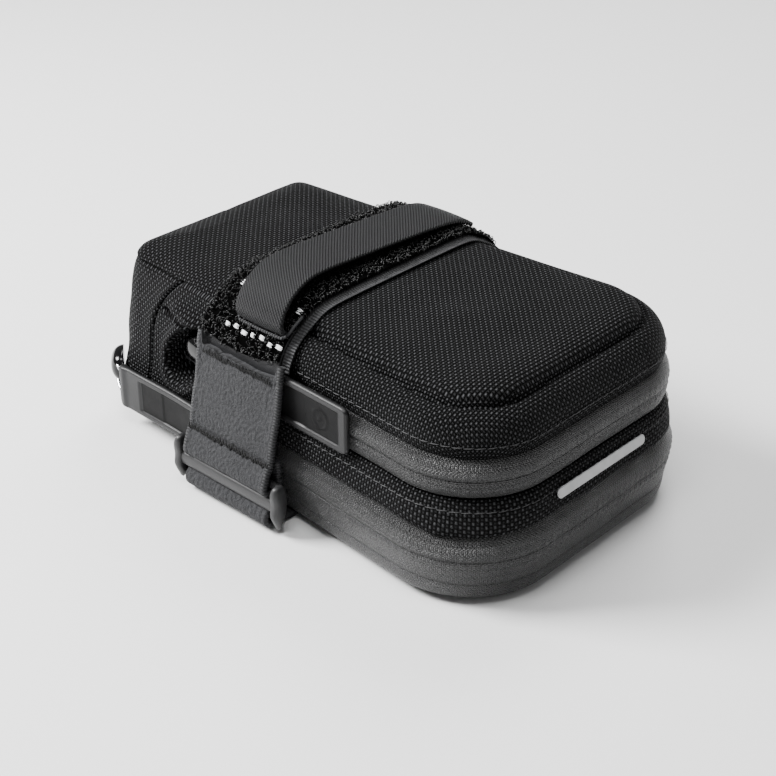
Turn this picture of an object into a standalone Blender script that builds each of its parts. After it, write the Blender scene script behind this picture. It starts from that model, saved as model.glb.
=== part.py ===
"""Two-compartment bicycle saddle bag with a hook-and-loop strap.

World frame: +X is the rear (the face seen from behind the bike), -X the front towards the
seatpost, -Y the left side, +Z up. Numbers below are millimetres; M turns them into metres.
"""

import math

import bmesh
import bpy
from mathutils import Vector

M = 0.001

# Plan outline of the bag at zero offset: a rounded wedge, narrower in front.
X_FRONT = -66.0
X_REAR = 67.0
HALF_FRONT = 33.0
HALF_REAR = 43.0
R_FRONT = 8.0
R_REAR = 21.0

# Heights of the seams, from the ground up.
Z_BASE_SEAM = 6.4
Z_LOWER_ZIP = 13.0
Z_LOWER_SEAM = 19.8
Z_DIVIDER = 24.0
Z_UPPER_SEAM = 28.4
Z_UPPER_ZIP = 33.3
Z_RIM_SEAM = 38.3
Z_TOP_EDGE = 46.6
Z_GROOVE = 48.2
Z_TOP = 52.6

GAP = 0.32
WALL = 1.6
TAPE = 1.2
BASE_THICK = 4.6
LID_THICK = 2.6

# How far each zip stands out from the plan outline.
UPPER_SWELL = 1.3
LOWER_SWELL = 3.6

# The leaves flex along one line just behind the strap.
X_HINGE = 6.7
X_ZIP_END = -40.0
X_FRONT_SEAM = -50.0

# Strap round the bag.
STRAP_X0 = -24.1
STRAP_X1 = 5.9
STRAP_THICK = 1.5
PILE_THICK = 1.2
RAIL_WIDTH = 16.0
RAIL_THICK = 1.4

# Sliders and rubber pulls.
PULL_LENGTH = 55.0
PULL_HEIGHT = 12.6
PULL_THICK = 1.5
PRESS_LENGTH = 26.0
DISH = 0.5
SLIDER_LENGTH = 9.5
SLIDER_HEIGHT = 8.6

TAPER = math.atan2(HALF_REAR - HALF_FRONT, X_REAR - X_FRONT)

for old in list(bpy.data.objects):
    bpy.data.objects.remove(old, do_unlink=True)
for old in list(bpy.data.collections):
    bpy.data.collections.remove(old)

bag = bpy.data.collections.new("saddle_bag")
bpy.context.scene.collection.children.link(bag)
cutters = bpy.data.collections.new("cutters")
cutters.hide_render = True
bpy.context.scene.collection.children.link(cutters)


def material(name, colour, roughness, metallic=0.0):
    made = bpy.data.materials.new(name)
    made.use_nodes = True
    shader = made.node_tree.nodes["Principled BSDF"]
    shader.inputs["Base Color"].default_value = (*colour, 1.0)
    shader.inputs["Roughness"].default_value = roughness
    shader.inputs["Metallic"].default_value = metallic
    made.diffuse_color = (*colour, 1.0)
    return made


WEAVE = material("coarse_weave", (0.035, 0.036, 0.038), 0.85)
COATED = material("coated_tape", (0.05, 0.051, 0.053), 0.45)
COIL = material("nylon_coil", (0.03, 0.03, 0.03), 0.4)
LINING = material("lining", (0.09, 0.09, 0.095), 0.8)
PILE = material("loop_pile", (0.012, 0.012, 0.012), 1.0)
SUEDE = material("microfibre", (0.075, 0.075, 0.078), 0.9)
WEBBING = material("webbing", (0.045, 0.045, 0.047), 0.7)
PLASTIC = material("acetal", (0.02, 0.02, 0.02), 0.35)
RUBBER = material("rubber", (0.03, 0.03, 0.03), 0.5)
METAL = material("plated_metal", (0.6, 0.6, 0.62), 0.2, 1.0)
GLOSS = material("painted_zinc", (0.01, 0.01, 0.01), 0.15, 0.4)


def finish(name, bm, surface, smooth=32.0, collection=None):
    """One mesh object from a bmesh in millimetres."""
    bmesh.ops.remove_doubles(bm, verts=bm.verts, dist=0.001)
    bmesh.ops.recalc_face_normals(bm, faces=bm.faces)
    for vert in bm.verts:
        vert.co *= M
    data = bpy.data.meshes.new(name)
    bm.to_mesh(data)
    bm.free()
    obj = bpy.data.objects.new(name, data)
    (collection or bag).objects.link(obj)
    if surface:
        data.materials.append(surface)
        data.shade_smooth()
        data.set_sharp_from_angle(angle=math.radians(smooth))
    return obj


def set_origin(obj, point):
    """Moves the origin to a point in millimetres and leaves the shape where it is."""
    shift = Vector(point) * M
    for vert in obj.data.vertices:
        vert.co -= shift
    obj.location = shift


def loft(sections, ring=False):
    """A closed solid through sections that have the same number of points."""
    bm = bmesh.new()
    rows = [[bm.verts.new(point) for point in section] for section in sections]
    count = len(rows[0])
    spans = len(rows) if ring else len(rows) - 1
    for i in range(spans):
        here = rows[i]
        there = rows[(i + 1) % len(rows)]
        for j in range(count):
            k = (j + 1) % count
            bm.faces.new((here[j], here[k], there[k], there[j]))
    if not ring:
        bm.faces.new(rows[0])
        bm.faces.new(list(reversed(rows[-1])))
    return bm


def half_width(x, offset=0.0):
    slope = math.tan(TAPER)
    return HALF_REAR - slope * (X_REAR - x) + offset / math.cos(TAPER)


def rear_corner():
    return X_REAR - R_REAR, HALF_REAR - R_REAR * (1 + math.sin(TAPER)) / math.cos(TAPER)


def front_corner():
    return X_FRONT + R_FRONT, HALF_FRONT - R_FRONT * (1 - math.sin(TAPER)) / math.cos(TAPER)


def arc(centre, radius, start, end, count):
    """Stations (x, y, nx, ny) on an arc, angles in radians."""
    stations = []
    for i in range(count + 1):
        angle = start + (end - start) * i / count
        nx = math.cos(angle)
        ny = math.sin(angle)
        stations.append((centre[0] + radius * nx, centre[1] + radius * ny, nx, ny))
    return stations


def rear_path(x_left, sides=8, corner=7, x_right=None):
    """Stations down the left side, round the rear and back up the right side."""
    x_right = x_left if x_right is None else x_right
    cx, cy = rear_corner()
    turn = math.pi / 2 + TAPER
    right = arc((cx, cy), R_REAR, 0.0, turn, corner)
    left = [(x, -y, nx, -ny) for x, y, nx, ny in reversed(right)]
    nx = -math.sin(TAPER)
    ny = math.cos(TAPER)
    path = []
    for i in range(sides):
        x = x_left + (left[0][0] - x_left) * i / sides
        path.append((x, -half_width(x), nx, -ny))
    path += left
    path += [(X_REAR, left[-1][1] * f, 1.0, 0.0) for f in (0.5, 0.0, -0.5)]
    path += right
    for i in range(1, sides + 1):
        x = right[-1][0] + (x_right - right[-1][0]) * i / sides
        path.append((x, half_width(x), nx, ny))
    return path


def front_path(x_side, sides=3, corner=5):
    """Stations up the left side, round the front face and back down the right side."""
    cx, cy = front_corner()
    turn = math.pi / 2 + TAPER
    right = arc((cx, cy), R_FRONT, math.pi, turn, corner)
    left = [(x, -y, nx, -ny) for x, y, nx, ny in reversed(right)]
    nx = -math.sin(TAPER)
    ny = math.cos(TAPER)
    path = []
    for i in range(sides):
        x = x_side + (left[0][0] - x_side) * i / sides
        path.append((x, -half_width(x), nx, -ny))
    path += left
    path += [(X_FRONT, left[-1][1] * f, -1.0, 0.0) for f in (0.98, 0.5, 0.0, -0.5, -0.98)]
    path += right
    for i in range(1, sides + 1):
        x = right[-1][0] + (x_side - right[-1][0]) * i / sides
        path.append((x, half_width(x), nx, ny))
    return path


def corner_stations(count=4):
    """Round the front left corner, from the front face to the side."""
    corner = arc(front_corner(), R_FRONT, math.pi, math.pi / 2 + TAPER, count)
    return [(x, -y, nx, -ny) for x, y, nx, ny in corner]


def full_path():
    """Round both front corners, down both sides and round the rear."""
    start = corner_stations()
    end = [(x, -y, nx, -ny) for x, y, nx, ny in reversed(start)]
    return start[:-1] + rear_path(start[-1][0], 10) + end[1:]


def side_path(x_from, x_to, side, count=6):
    nx = -math.sin(TAPER)
    ny = math.cos(TAPER)
    path = []
    for i in range(count + 1):
        x = x_from + (x_to - x_from) * i / count
        path.append((x, side * half_width(x), nx, side * ny))
    return path


def wall(path, outer, thick):
    """Sections of a wall: outer is a list of (offset, z) or a function of the station."""
    sections = []
    for station in path:
        profile = outer(station) if callable(outer) else outer
        x, y, nx, ny = station
        section = [(x + nx * off, y + ny * off, z) for off, z in profile]
        section += [
            (x + nx * (off - thick), y + ny * (off - thick), z) for off, z in reversed(profile)
        ]
        sections.append(section)
    return sections


def outline(offset, z, corner=6, least=0.8):
    """A closed ring of the bag outline at an offset, always the same number of points."""
    r_rear = max(R_REAR + offset, least)
    r_front = max(R_FRONT + offset, least)
    tan = math.tan(TAPER)
    cos = math.cos(TAPER)
    sin = math.sin(TAPER)
    x1 = X_REAR + offset
    x0 = X_FRONT - offset
    y1 = half_width(x1, offset)
    y0 = half_width(x0, offset)
    turn = math.pi / 2 + TAPER
    rear = (x1 - r_rear, y1 - r_rear * (1 + sin) / cos)
    front = (x0 + r_front, y0 - r_front * (1 - sin) / cos)
    right = arc(rear, r_rear, 0.0, turn, corner)
    nx0 = right[-1][0]
    side = []
    for i in range(1, 6):
        x = nx0 + (front[0] - r_front * sin - nx0) * i / 6
        side.append((x, y1 - tan * (x1 - x), 0.0, 0.0))
    half = right + side + arc(front, r_front, turn, math.pi, corner)
    points = [(x, y, z) for x, y, _, _ in half]
    points += [(x, -y, z) for x, y, _, _ in reversed(half)]
    return points


def shell(name, outer, inner, surface):
    """A dish from nested outlines: outer and inner run from the rim to the middle."""
    bm = bmesh.new()
    rings = [outline(off, z) for off, z in outer]
    back = [outline(off, z) for off, z in inner]
    rows = [[bm.verts.new(p) for p in ring] for ring in rings]
    under = [[bm.verts.new(p) for p in ring] for ring in back]
    count = len(rows[0])
    chain = list(reversed(rows)) + under
    for here, there in zip(chain, chain[1:]):
        for j in range(count):
            k = (j + 1) % count
            bm.faces.new((here[j], here[k], there[k], there[j]))
    bm.faces.new(rows[-1])
    bm.faces.new(under[-1])
    return finish(name, bm, surface)


def box_cutter(name, low, high):
    bm = bmesh.new()
    bmesh.ops.create_cube(bm, size=1.0)
    for vert in bm.verts:
        for axis in range(3):
            vert.co[axis] = low[axis] if vert.co[axis] < 0 else high[axis]
    cutter = finish(name, bm, None, collection=cutters)
    cutter.hide_render = True
    cutter.display_type = "WIRE"
    return cutter


def cut(obj, cutter, operation="DIFFERENCE"):
    modifier = obj.modifiers.new("cut", "BOOLEAN")
    modifier.operation = operation
    modifier.solver = "EXACT"
    modifier.object = cutter
    return modifier


def spline(points, steps=6):
    """A smooth line through points, as a Catmull-Rom curve."""
    vectors = [Vector(p) for p in points]
    ends = [vectors[0] * 2 - vectors[1]] + vectors + [vectors[-1] * 2 - vectors[-2]]
    line = []
    for i in range(1, len(ends) - 2):
        a, b, c, d = ends[i - 1 : i + 3]
        for k in range(steps):
            t = k / steps
            line.append(
                0.5
                * (
                    2 * b
                    + (c - a) * t
                    + (2 * a - 5 * b + 4 * c - d) * t * t
                    + (3 * b - a - 3 * c + d) * t * t * t
                )
            )
    line.append(vectors[-1])
    return line


def ribbon(name, line, thick, x_low, x_high, surface, edge=0.4):
    """A strap: a line in the YZ plane, given as its middle, with a width along X."""
    sections = []
    for i, point in enumerate(line):
        before = line[max(i - 1, 0)]
        after = line[min(i + 1, len(line) - 1)]
        along = (after - before).normalized()
        normal = Vector((along.y, -along.x)) * (thick / 2)
        x0 = x_low(i) if callable(x_low) else x_low
        x1 = x_high(i) if callable(x_high) else x_high
        thin = normal * 0.45
        sections.append(
            [
                (x0, point.x - thin.x, point.y - thin.y),
                (x0 + edge, point.x - normal.x, point.y - normal.y),
                (x1 - edge, point.x - normal.x, point.y - normal.y),
                (x1, point.x - thin.x, point.y - thin.y),
                (x1, point.x + thin.x, point.y + thin.y),
                (x1 - edge, point.x + normal.x, point.y + normal.y),
                (x0 + edge, point.x + normal.x, point.y + normal.y),
                (x0, point.x + thin.x, point.y + thin.y),
            ]
        )
    return finish(name, loft(sections), surface)


def bump(x, low, high):
    """Rises from 0 at both ends to 1 in the middle."""
    if x <= low or x >= high:
        return 0.0
    return math.sin(math.pi * (x - low) / (high - low)) ** 2


# ---------------------------------------------------------------- base
base_outer = [
    (2.9, Z_BASE_SEAM - GAP),
    (2.7, 4.4),
    (1.7, 2.4),
    (-0.4, 0.9),
    (-3.4, 0.2),
    (-7.0, 0.0),
]
base_inner = [
    (2.9 - BASE_THICK * 0.6, Z_BASE_SEAM - GAP),
    (-0.8, 5.6),
    (-3.0, BASE_THICK),
    (-7.0, BASE_THICK),
]
rear_half = box_cutter("rear_half", (X_HINGE + GAP / 2, -70, -20), (110, 70, 80))
front_half = box_cutter("front_half", (-110, -70, -20), (X_HINGE - GAP / 2, 70, 80))
channel = box_cutter("strap_channel", (STRAP_X0 - 0.8, -70, -5), (X_HINGE + 2, 70, 2.2))

base_front = shell("base_front", base_outer, base_inner, COATED)
cut(base_front, front_half, "INTERSECT")
cut(base_front, channel)
base_rear = shell("base_rear", base_outer, base_inner, COATED)
cut(base_rear, rear_half, "INTERSECT")

# ---------------------------------------------------------------- body walls


def body_profile(station):
    x = station[0]
    swell = 1.6 * bump(x, -58.0, -18.0)
    low = Z_LOWER_SEAM + GAP
    high = Z_UPPER_SEAM - GAP
    span = high - low
    return [
        (0.4 + swell, high),
        (1.2 + swell, high - span * 0.3),
        (2.0 + swell, low + span * 0.3),
        (2.3 + swell * 0.4, low),
    ]


body_band = finish("body_band", loft(wall(rear_path(X_FRONT_SEAM + GAP), body_profile, WALL)), WEAVE)


def front_profile(station):
    x, y, _, _ = station
    inside = x < X_FRONT + 0.01 and abs(y) < front_corner()[1] * 0.99
    low = Z_BASE_SEAM + GAP if inside else Z_LOWER_SEAM + GAP
    high = Z_TOP_EDGE - GAP
    span = high - low
    return [
        (-1.4, high),
        (-0.3, high - 3.0),
        (0.5, high - span * 0.35),
        (1.0, high - span * 0.6),
        (1.4, low + 2.0),
        (1.2, low),
    ]


front_panel = finish(
    "front_panel", loft(wall(front_path(X_FRONT_SEAM), front_profile, WALL)), WEAVE
)


def gusset_profile(station):
    x = station[0]
    depth = 3.6 * bump(x, X_FRONT_SEAM - 6, X_ZIP_END + 8)
    low = Z_UPPER_SEAM
    high = Z_RIM_SEAM
    return [
        (0.6 - depth * 0.3, high),
        (0.4 - depth, high - 2.4),
        (0.4 - depth, low + 2.4),
        (0.6 - depth * 0.3, low),
    ]


for name, side in (("gusset_left", -1), ("gusset_right", 1)):
    path = side_path(X_FRONT_SEAM + GAP, X_ZIP_END - GAP, side, 5)
    finish(name, loft(wall(path, gusset_profile, WALL)), WEAVE)

divider = finish(
    "divider",
    loft([outline(-3.0, Z_DIVIDER - 0.7), outline(-3.0, Z_DIVIDER + 0.7)]),
    LINING,
)

# ---------------------------------------------------------------- zips


def tape_profile(low, high, edge, middle, seam_at_top):
    """Outside of half a coated tape, from the seam to the coil."""
    span = high - low
    if seam_at_top:
        return [
            (edge, high),
            ((edge * 2 + middle) / 3 + 0.25, high - span * 0.3),
            ((edge + middle * 2) / 3 + 0.2, high - span * 0.65),
            (middle, low),
        ]
    return [
        (middle, high),
        ((edge + middle * 2) / 3 + 0.2, low + span * 0.65),
        ((edge * 2 + middle) / 3 + 0.25, low + span * 0.3),
        (edge, low),
    ]


half_gap = GAP / 2
upper_low = tape_profile(Z_UPPER_SEAM, Z_UPPER_ZIP - half_gap, 0.5, UPPER_SWELL, False)
upper_high = tape_profile(Z_UPPER_ZIP + half_gap, Z_RIM_SEAM, -0.2, UPPER_SWELL, True)
lower_low = tape_profile(Z_BASE_SEAM, Z_LOWER_ZIP - half_gap, 2.8, LOWER_SWELL, False)
lower_high = tape_profile(Z_LOWER_ZIP + half_gap, Z_LOWER_SEAM, 2.6, LOWER_SWELL, True)

corner_x = corner_stations()[-1][0]
finish("upper_tape_body", loft(wall(rear_path(X_ZIP_END), upper_low, TAPE)), COATED)
finish("upper_tape_lid", loft(wall(rear_path(X_HINGE + GAP), upper_high, TAPE)), COATED)
finish("lower_tape_body", loft(wall(full_path(), lower_high, TAPE)), COATED)
finish("lower_tape_base", loft(wall(rear_path(X_HINGE + GAP), lower_low, TAPE)), COATED)
for tag, side in (("left", -1), ("right", 1)):
    path = side_path(X_ZIP_END, X_HINGE - GAP, side)
    finish("upper_tape_front_" + tag, loft(wall(path, upper_high, TAPE)), COATED)
    path = [(x, -side * y, nx, -side * ny) for x, y, nx, ny in corner_stations()[:-1]]
    path += side_path(corner_x, X_HINGE - GAP, side)
    finish("lower_tape_front_" + tag, loft(wall(path, lower_low, TAPE)), COATED)


UPPER_COIL = UPPER_SWELL - TAPE - 0.5
LOWER_COIL = LOWER_SWELL - TAPE - 0.4


def coil_section(off, z_low, z_high):
    thick = 1.5
    return [
        (off, z_low + 0.3),
        (off - 0.3, z_low),
        (off - thick, z_low),
        (off - thick, z_high),
        (off - 0.3, z_high),
        (off, z_high - 0.3),
    ]


def sweep(path, section):
    return loft(
        [[(x + nx * off, y + ny * off, z) for off, z in section] for x, y, nx, ny in path]
    )


for name, z_low, z_high, off, x_end in (
    ("upper_coil_body", Z_UPPER_ZIP - 1.9, Z_UPPER_ZIP - half_gap, UPPER_COIL, X_ZIP_END + 1),
    ("upper_coil_lid", Z_UPPER_ZIP + half_gap, Z_UPPER_ZIP + 1.9, UPPER_COIL, X_HINGE + GAP),
    ("lower_coil_body", Z_LOWER_ZIP + half_gap, Z_LOWER_ZIP + 1.9, LOWER_COIL, corner_x + 1),
    ("lower_coil_base", Z_LOWER_ZIP - 1.9, Z_LOWER_ZIP - half_gap, LOWER_COIL, X_HINGE + GAP),
):
    finish(name, sweep(rear_path(x_end), coil_section(off, z_low, z_high)), COIL)

# ---------------------------------------------------------------- lid
lid_outer = [
    (-0.1, Z_RIM_SEAM + GAP),
    (-0.2, 41.4),
    (-1.1, 44.6),
    (-2.6, 47.0),
    (-4.6, 48.5),
    (-5.7, Z_GROOVE),
    (-6.6, 49.8),
    (-8.6, 51.2),
    (-12.0, 52.0),
    (-17.0, Z_TOP),
]
lid_inner = [
    (-0.1 - WALL, Z_RIM_SEAM + GAP),
    (-2.2, 41.4),
    (-3.4, 44.2),
    (-5.4, 46.0),
    (-8.0, 47.0),
    (-12.0, Z_TOP - LID_THICK - 0.4),
    (-17.0, Z_TOP - LID_THICK),
]
lid_rear = shell("lid_rear", lid_outer, lid_inner, WEAVE)
cut(lid_rear, rear_half, "INTERSECT")

top_outer = [
    (0.3, Z_RIM_SEAM + GAP),
    (0.3, 41.0),
    (-0.4, 44.0),
    (-2.0, Z_TOP_EDGE),
    (-4.8, 48.4),
    (-8.6, 50.2),
    (-13.0, 51.7),
    (-18.0, Z_TOP),
]
top_inner = [
    (0.3 - WALL, Z_RIM_SEAM + GAP),
    (-1.7, 41.0),
    (-2.5, 43.2),
    (-4.8, 45.2),
    (-8.6, 47.4),
    (-13.0, 49.0),
    (-18.0, Z_TOP - LID_THICK),
]
lid_front = shell("lid_front", top_outer, top_inner, WEAVE)
cut(lid_front, front_half, "INTERSECT")
nose = box_cutter("nose_cut", (-110, -70, 20), (X_FRONT_SEAM + GAP, 70, Z_TOP_EDGE))
cut(lid_front, nose)

# ---------------------------------------------------------------- strap


def beside(line, distance):
    """The same line moved outwards by a distance."""
    moved = []
    for i, point in enumerate(line):
        before = line[max(i - 1, 0)]
        after = line[min(i + 1, len(line) - 1)]
        along = (after - before).normalized()
        moved.append(point + Vector((-along.y, along.x)) * distance)
    return moved


# The middle of the webbing in the YZ plane. The shoulders are alike on both sides.
shoulder = [
    (40.5, 40.9),
    (40.1, 42.6),
    (39.2, 44.5),
    (37.6, 46.9),
    (34.8, 49.3),
    (31.4, 51.2),
    (28.6, 52.6),
    (25.3, 53.4),
    (20.5, 53.7),
    (10.0, 53.8),
]
strap_over = spline([(-y, z) for y, z in shoulder] + shoulder[::-1] + [(41.0, 36.2)])
ribbon("strap_top", strap_over, STRAP_THICK, STRAP_X0, STRAP_X1, WEBBING)

PILE_LOW = 45.0
PILE_END = 38.5
pile_line = [p for p in strap_over if p.x < PILE_END and p.y > PILE_LOW]
PILE_SHIFT = STRAP_THICK / 2 + GAP + PILE_THICK / 2
pile_line = beside(pile_line, PILE_SHIFT)
ribbon("strap_pile", pile_line, PILE_THICK, STRAP_X0 + 1.2, STRAP_X1 - 2.6, PILE, 0.2)

BUCKLE_Y = -46.8
BAR_LOW = 3.4
BAR_HIGH = 12.6
BAR_HALF = 1.0
MIDDLE_BAR = (6.96, 9.04)
TURN = BAR_HALF * 1.42 + GAP + STRAP_THICK / 2


def round_bar(z, start, end, count=8):
    """Points of the strap's middle round a buckle bar, angles in degrees in the YZ plane."""
    points = []
    for i in range(count + 1):
        angle = math.radians(start + (end - start) * i / count)
        points.append(Vector((BUCKLE_Y + TURN * math.cos(angle), z + TURN * math.sin(angle))))
    return points


strap_left = spline(
    [
        (-42.3, 41.9),
        (-42.7, 39.0),
        (-43.2, 35.0),
        (-44.0, 30.0),
        (-45.1, 26.0),
        (-46.0, 22.0),
        (-46.7, 18.5),
        (-48.0, 15.6),
    ]
)
tail = spline([(-44.4, 15.0), (-44.5, 16.8), (-44.6, 18.6)], 4)
strap_left += round_bar(BAR_HIGH, 165, 380) + tail
ribbon("strap_side", strap_left, STRAP_THICK, STRAP_X0, STRAP_X1, SUEDE)

strap_under = spline(
    [
        (41.1, 35.3),
        (41.8, 30.0),
        (42.8, 22.0),
        (43.4, 14.0),
        (43.0, 6.6),
        (41.9, 2.9),
        (38.8, 1.0),
        (34.0, STRAP_THICK / 2),
        (20.0, STRAP_THICK / 2),
        (0.0, STRAP_THICK / 2),
        (-20.0, STRAP_THICK / 2),
        (-38.0, STRAP_THICK / 2),
        (-44.0, 0.8),
    ]
)
strap_under += round_bar(BAR_LOW, 265, -12, 12)
ribbon("strap_bottom", strap_under, STRAP_THICK, STRAP_X0, STRAP_X1, WEBBING)


def rounded_spline(curve, low, high, radius):
    """A rounded rectangle, added to a 2D curve as a cyclic line."""
    spots = []
    for cx, cy, start in (
        (high[0] - radius, high[1] - radius, 0),
        (low[0] + radius, high[1] - radius, 90),
        (low[0] + radius, low[1] + radius, 180),
        (high[0] - radius, low[1] + radius, 270),
    ):
        for i in range(4):
            angle = math.radians(start + 30 * i)
            spots.append((cx + radius * math.cos(angle), cy + radius * math.sin(angle)))
    line = curve.splines.new("POLY")
    line.points.add(len(spots) - 1)
    for point, (u, v) in zip(line.points, spots):
        point.co = (u * M, v * M, 0.0, 1.0)
    line.use_cyclic_u = True


# Ladder lock: one plate with three bars, standing in the plane of the strap's left side.
plate = bpy.data.curves.new("buckle", "CURVE")
plate.dimensions = "2D"
plate.fill_mode = "BOTH"
plate.extrude = BAR_HALF * M
rounded_spline(
    plate,
    (STRAP_X0 - 3.0, BAR_LOW - BAR_HALF),
    (STRAP_X1 + 3.0, BAR_HIGH + BAR_HALF),
    1.1,
)
openings = (
    (BAR_LOW + BAR_HALF, MIDDLE_BAR[0]),
    (MIDDLE_BAR[1], BAR_HIGH - BAR_HALF),
)
for z_low, z_high in openings:
    rounded_spline(plate, (STRAP_X0 - 0.6, z_low), (STRAP_X1 + 0.6, z_high), 0.5)
buckle = bpy.data.objects.new("buckle", plate)
buckle.rotation_euler = (math.pi / 2, 0.0, 0.0)
buckle.location = (0.0, BUCKLE_Y * M, 0.0)
plate.materials.append(PLASTIC)
bag.objects.link(buckle)

# ---------------------------------------------------------------- rail webbing
rail_line = spline(
    [
        (-38.9, 49.9),
        (-38.8, 52.2),
        (-36.9, 54.9),
        (-33.3, 57.0),
        (-27.5, 58.4),
        (-20.0, 58.8),
        (-8.0, 58.4),
        (6.0, 58.0),
        (19.0, 57.6),
        (26.5, 56.9),
        (30.6, 55.6),
        (33.2, 53.9),
    ],
    4,
)


def ease(t):
    t = min(max(t, 0.0), 1.0)
    return t * t * (3 - 2 * t)


def rail_centre(i):
    """The webbing drifts forward as it leaves the slot, then a little back."""
    t = i / (len(rail_line) - 1)
    return -5.3 - 4.2 * ease(t / 0.3) + 1.8 * ease((t - 0.35) / 0.65)


rail_webbing = ribbon(
    "rail_webbing",
    rail_line,
    RAIL_THICK,
    lambda i: rail_centre(i) - RAIL_WIDTH / 2,
    lambda i: rail_centre(i) + RAIL_WIDTH / 2,
    WEBBING,
)
RAIL_PIVOT = (rail_centre(0), rail_line[0].x, rail_line[0].y)
set_origin(rail_webbing, RAIL_PIVOT)


def tube(name, points, radius, surface, cyclic=False, collection=None):
    """A round wire through points in millimetres, as a mesh."""
    data = bpy.data.curves.new(name + "_path", "CURVE")
    data.dimensions = "3D"
    data.bevel_depth = radius * M
    data.bevel_resolution = 2
    data.use_fill_caps = True
    line = data.splines.new("POLY")
    line.points.add(len(points) - 1)
    for point, spot in zip(line.points, points):
        point.co = (*(Vector(spot) * M), 1.0)
    line.use_cyclic_u = cyclic
    guide = bpy.data.objects.new(name + "_path", data)
    cutters.objects.link(guide)
    bpy.context.view_layer.update()
    made = bpy.data.meshes.new_from_object(guide)
    bpy.data.objects.remove(guide, do_unlink=True)
    bm = bmesh.new()
    bm.from_mesh(made)
    bpy.data.meshes.remove(made)
    for vert in bm.verts:
        vert.co /= M
    return finish(name, bm, surface, collection=collection)


# Rounded binding round the slot that the rail webbing leaves by.
BINDING_RADIUS = 0.6
SLOT_LOW = 45.8
SLOT_HIGH = 51.0
slot_half = RAIL_WIDTH / 2 + 1.3
slot_out = PILE_SHIFT + PILE_THICK / 2 + GAP + BINDING_RADIUS
slot_side = beside([p for p in strap_over if p.x < 0 and SLOT_LOW < p.y < SLOT_HIGH], slot_out)
slot_points = [(RAIL_PIVOT[0] - slot_half, p.x, p.y) for p in reversed(slot_side)]
slot_points += [(RAIL_PIVOT[0] + slot_half, p.x, p.y) for p in slot_side]
tube("slot_binding", slot_points, BINDING_RADIUS, WEBBING)

# ---------------------------------------------------------------- sliders and pulls
ALONG = Vector((math.cos(TAPER), -math.sin(TAPER), 0.0))
OUT = Vector((-math.sin(TAPER), -math.cos(TAPER), 0.0))


def beside_wall(x, offset, z):
    """A point on the left side at an offset from the outline."""
    return Vector((x, -half_width(x), z)) + OUT * offset


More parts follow.
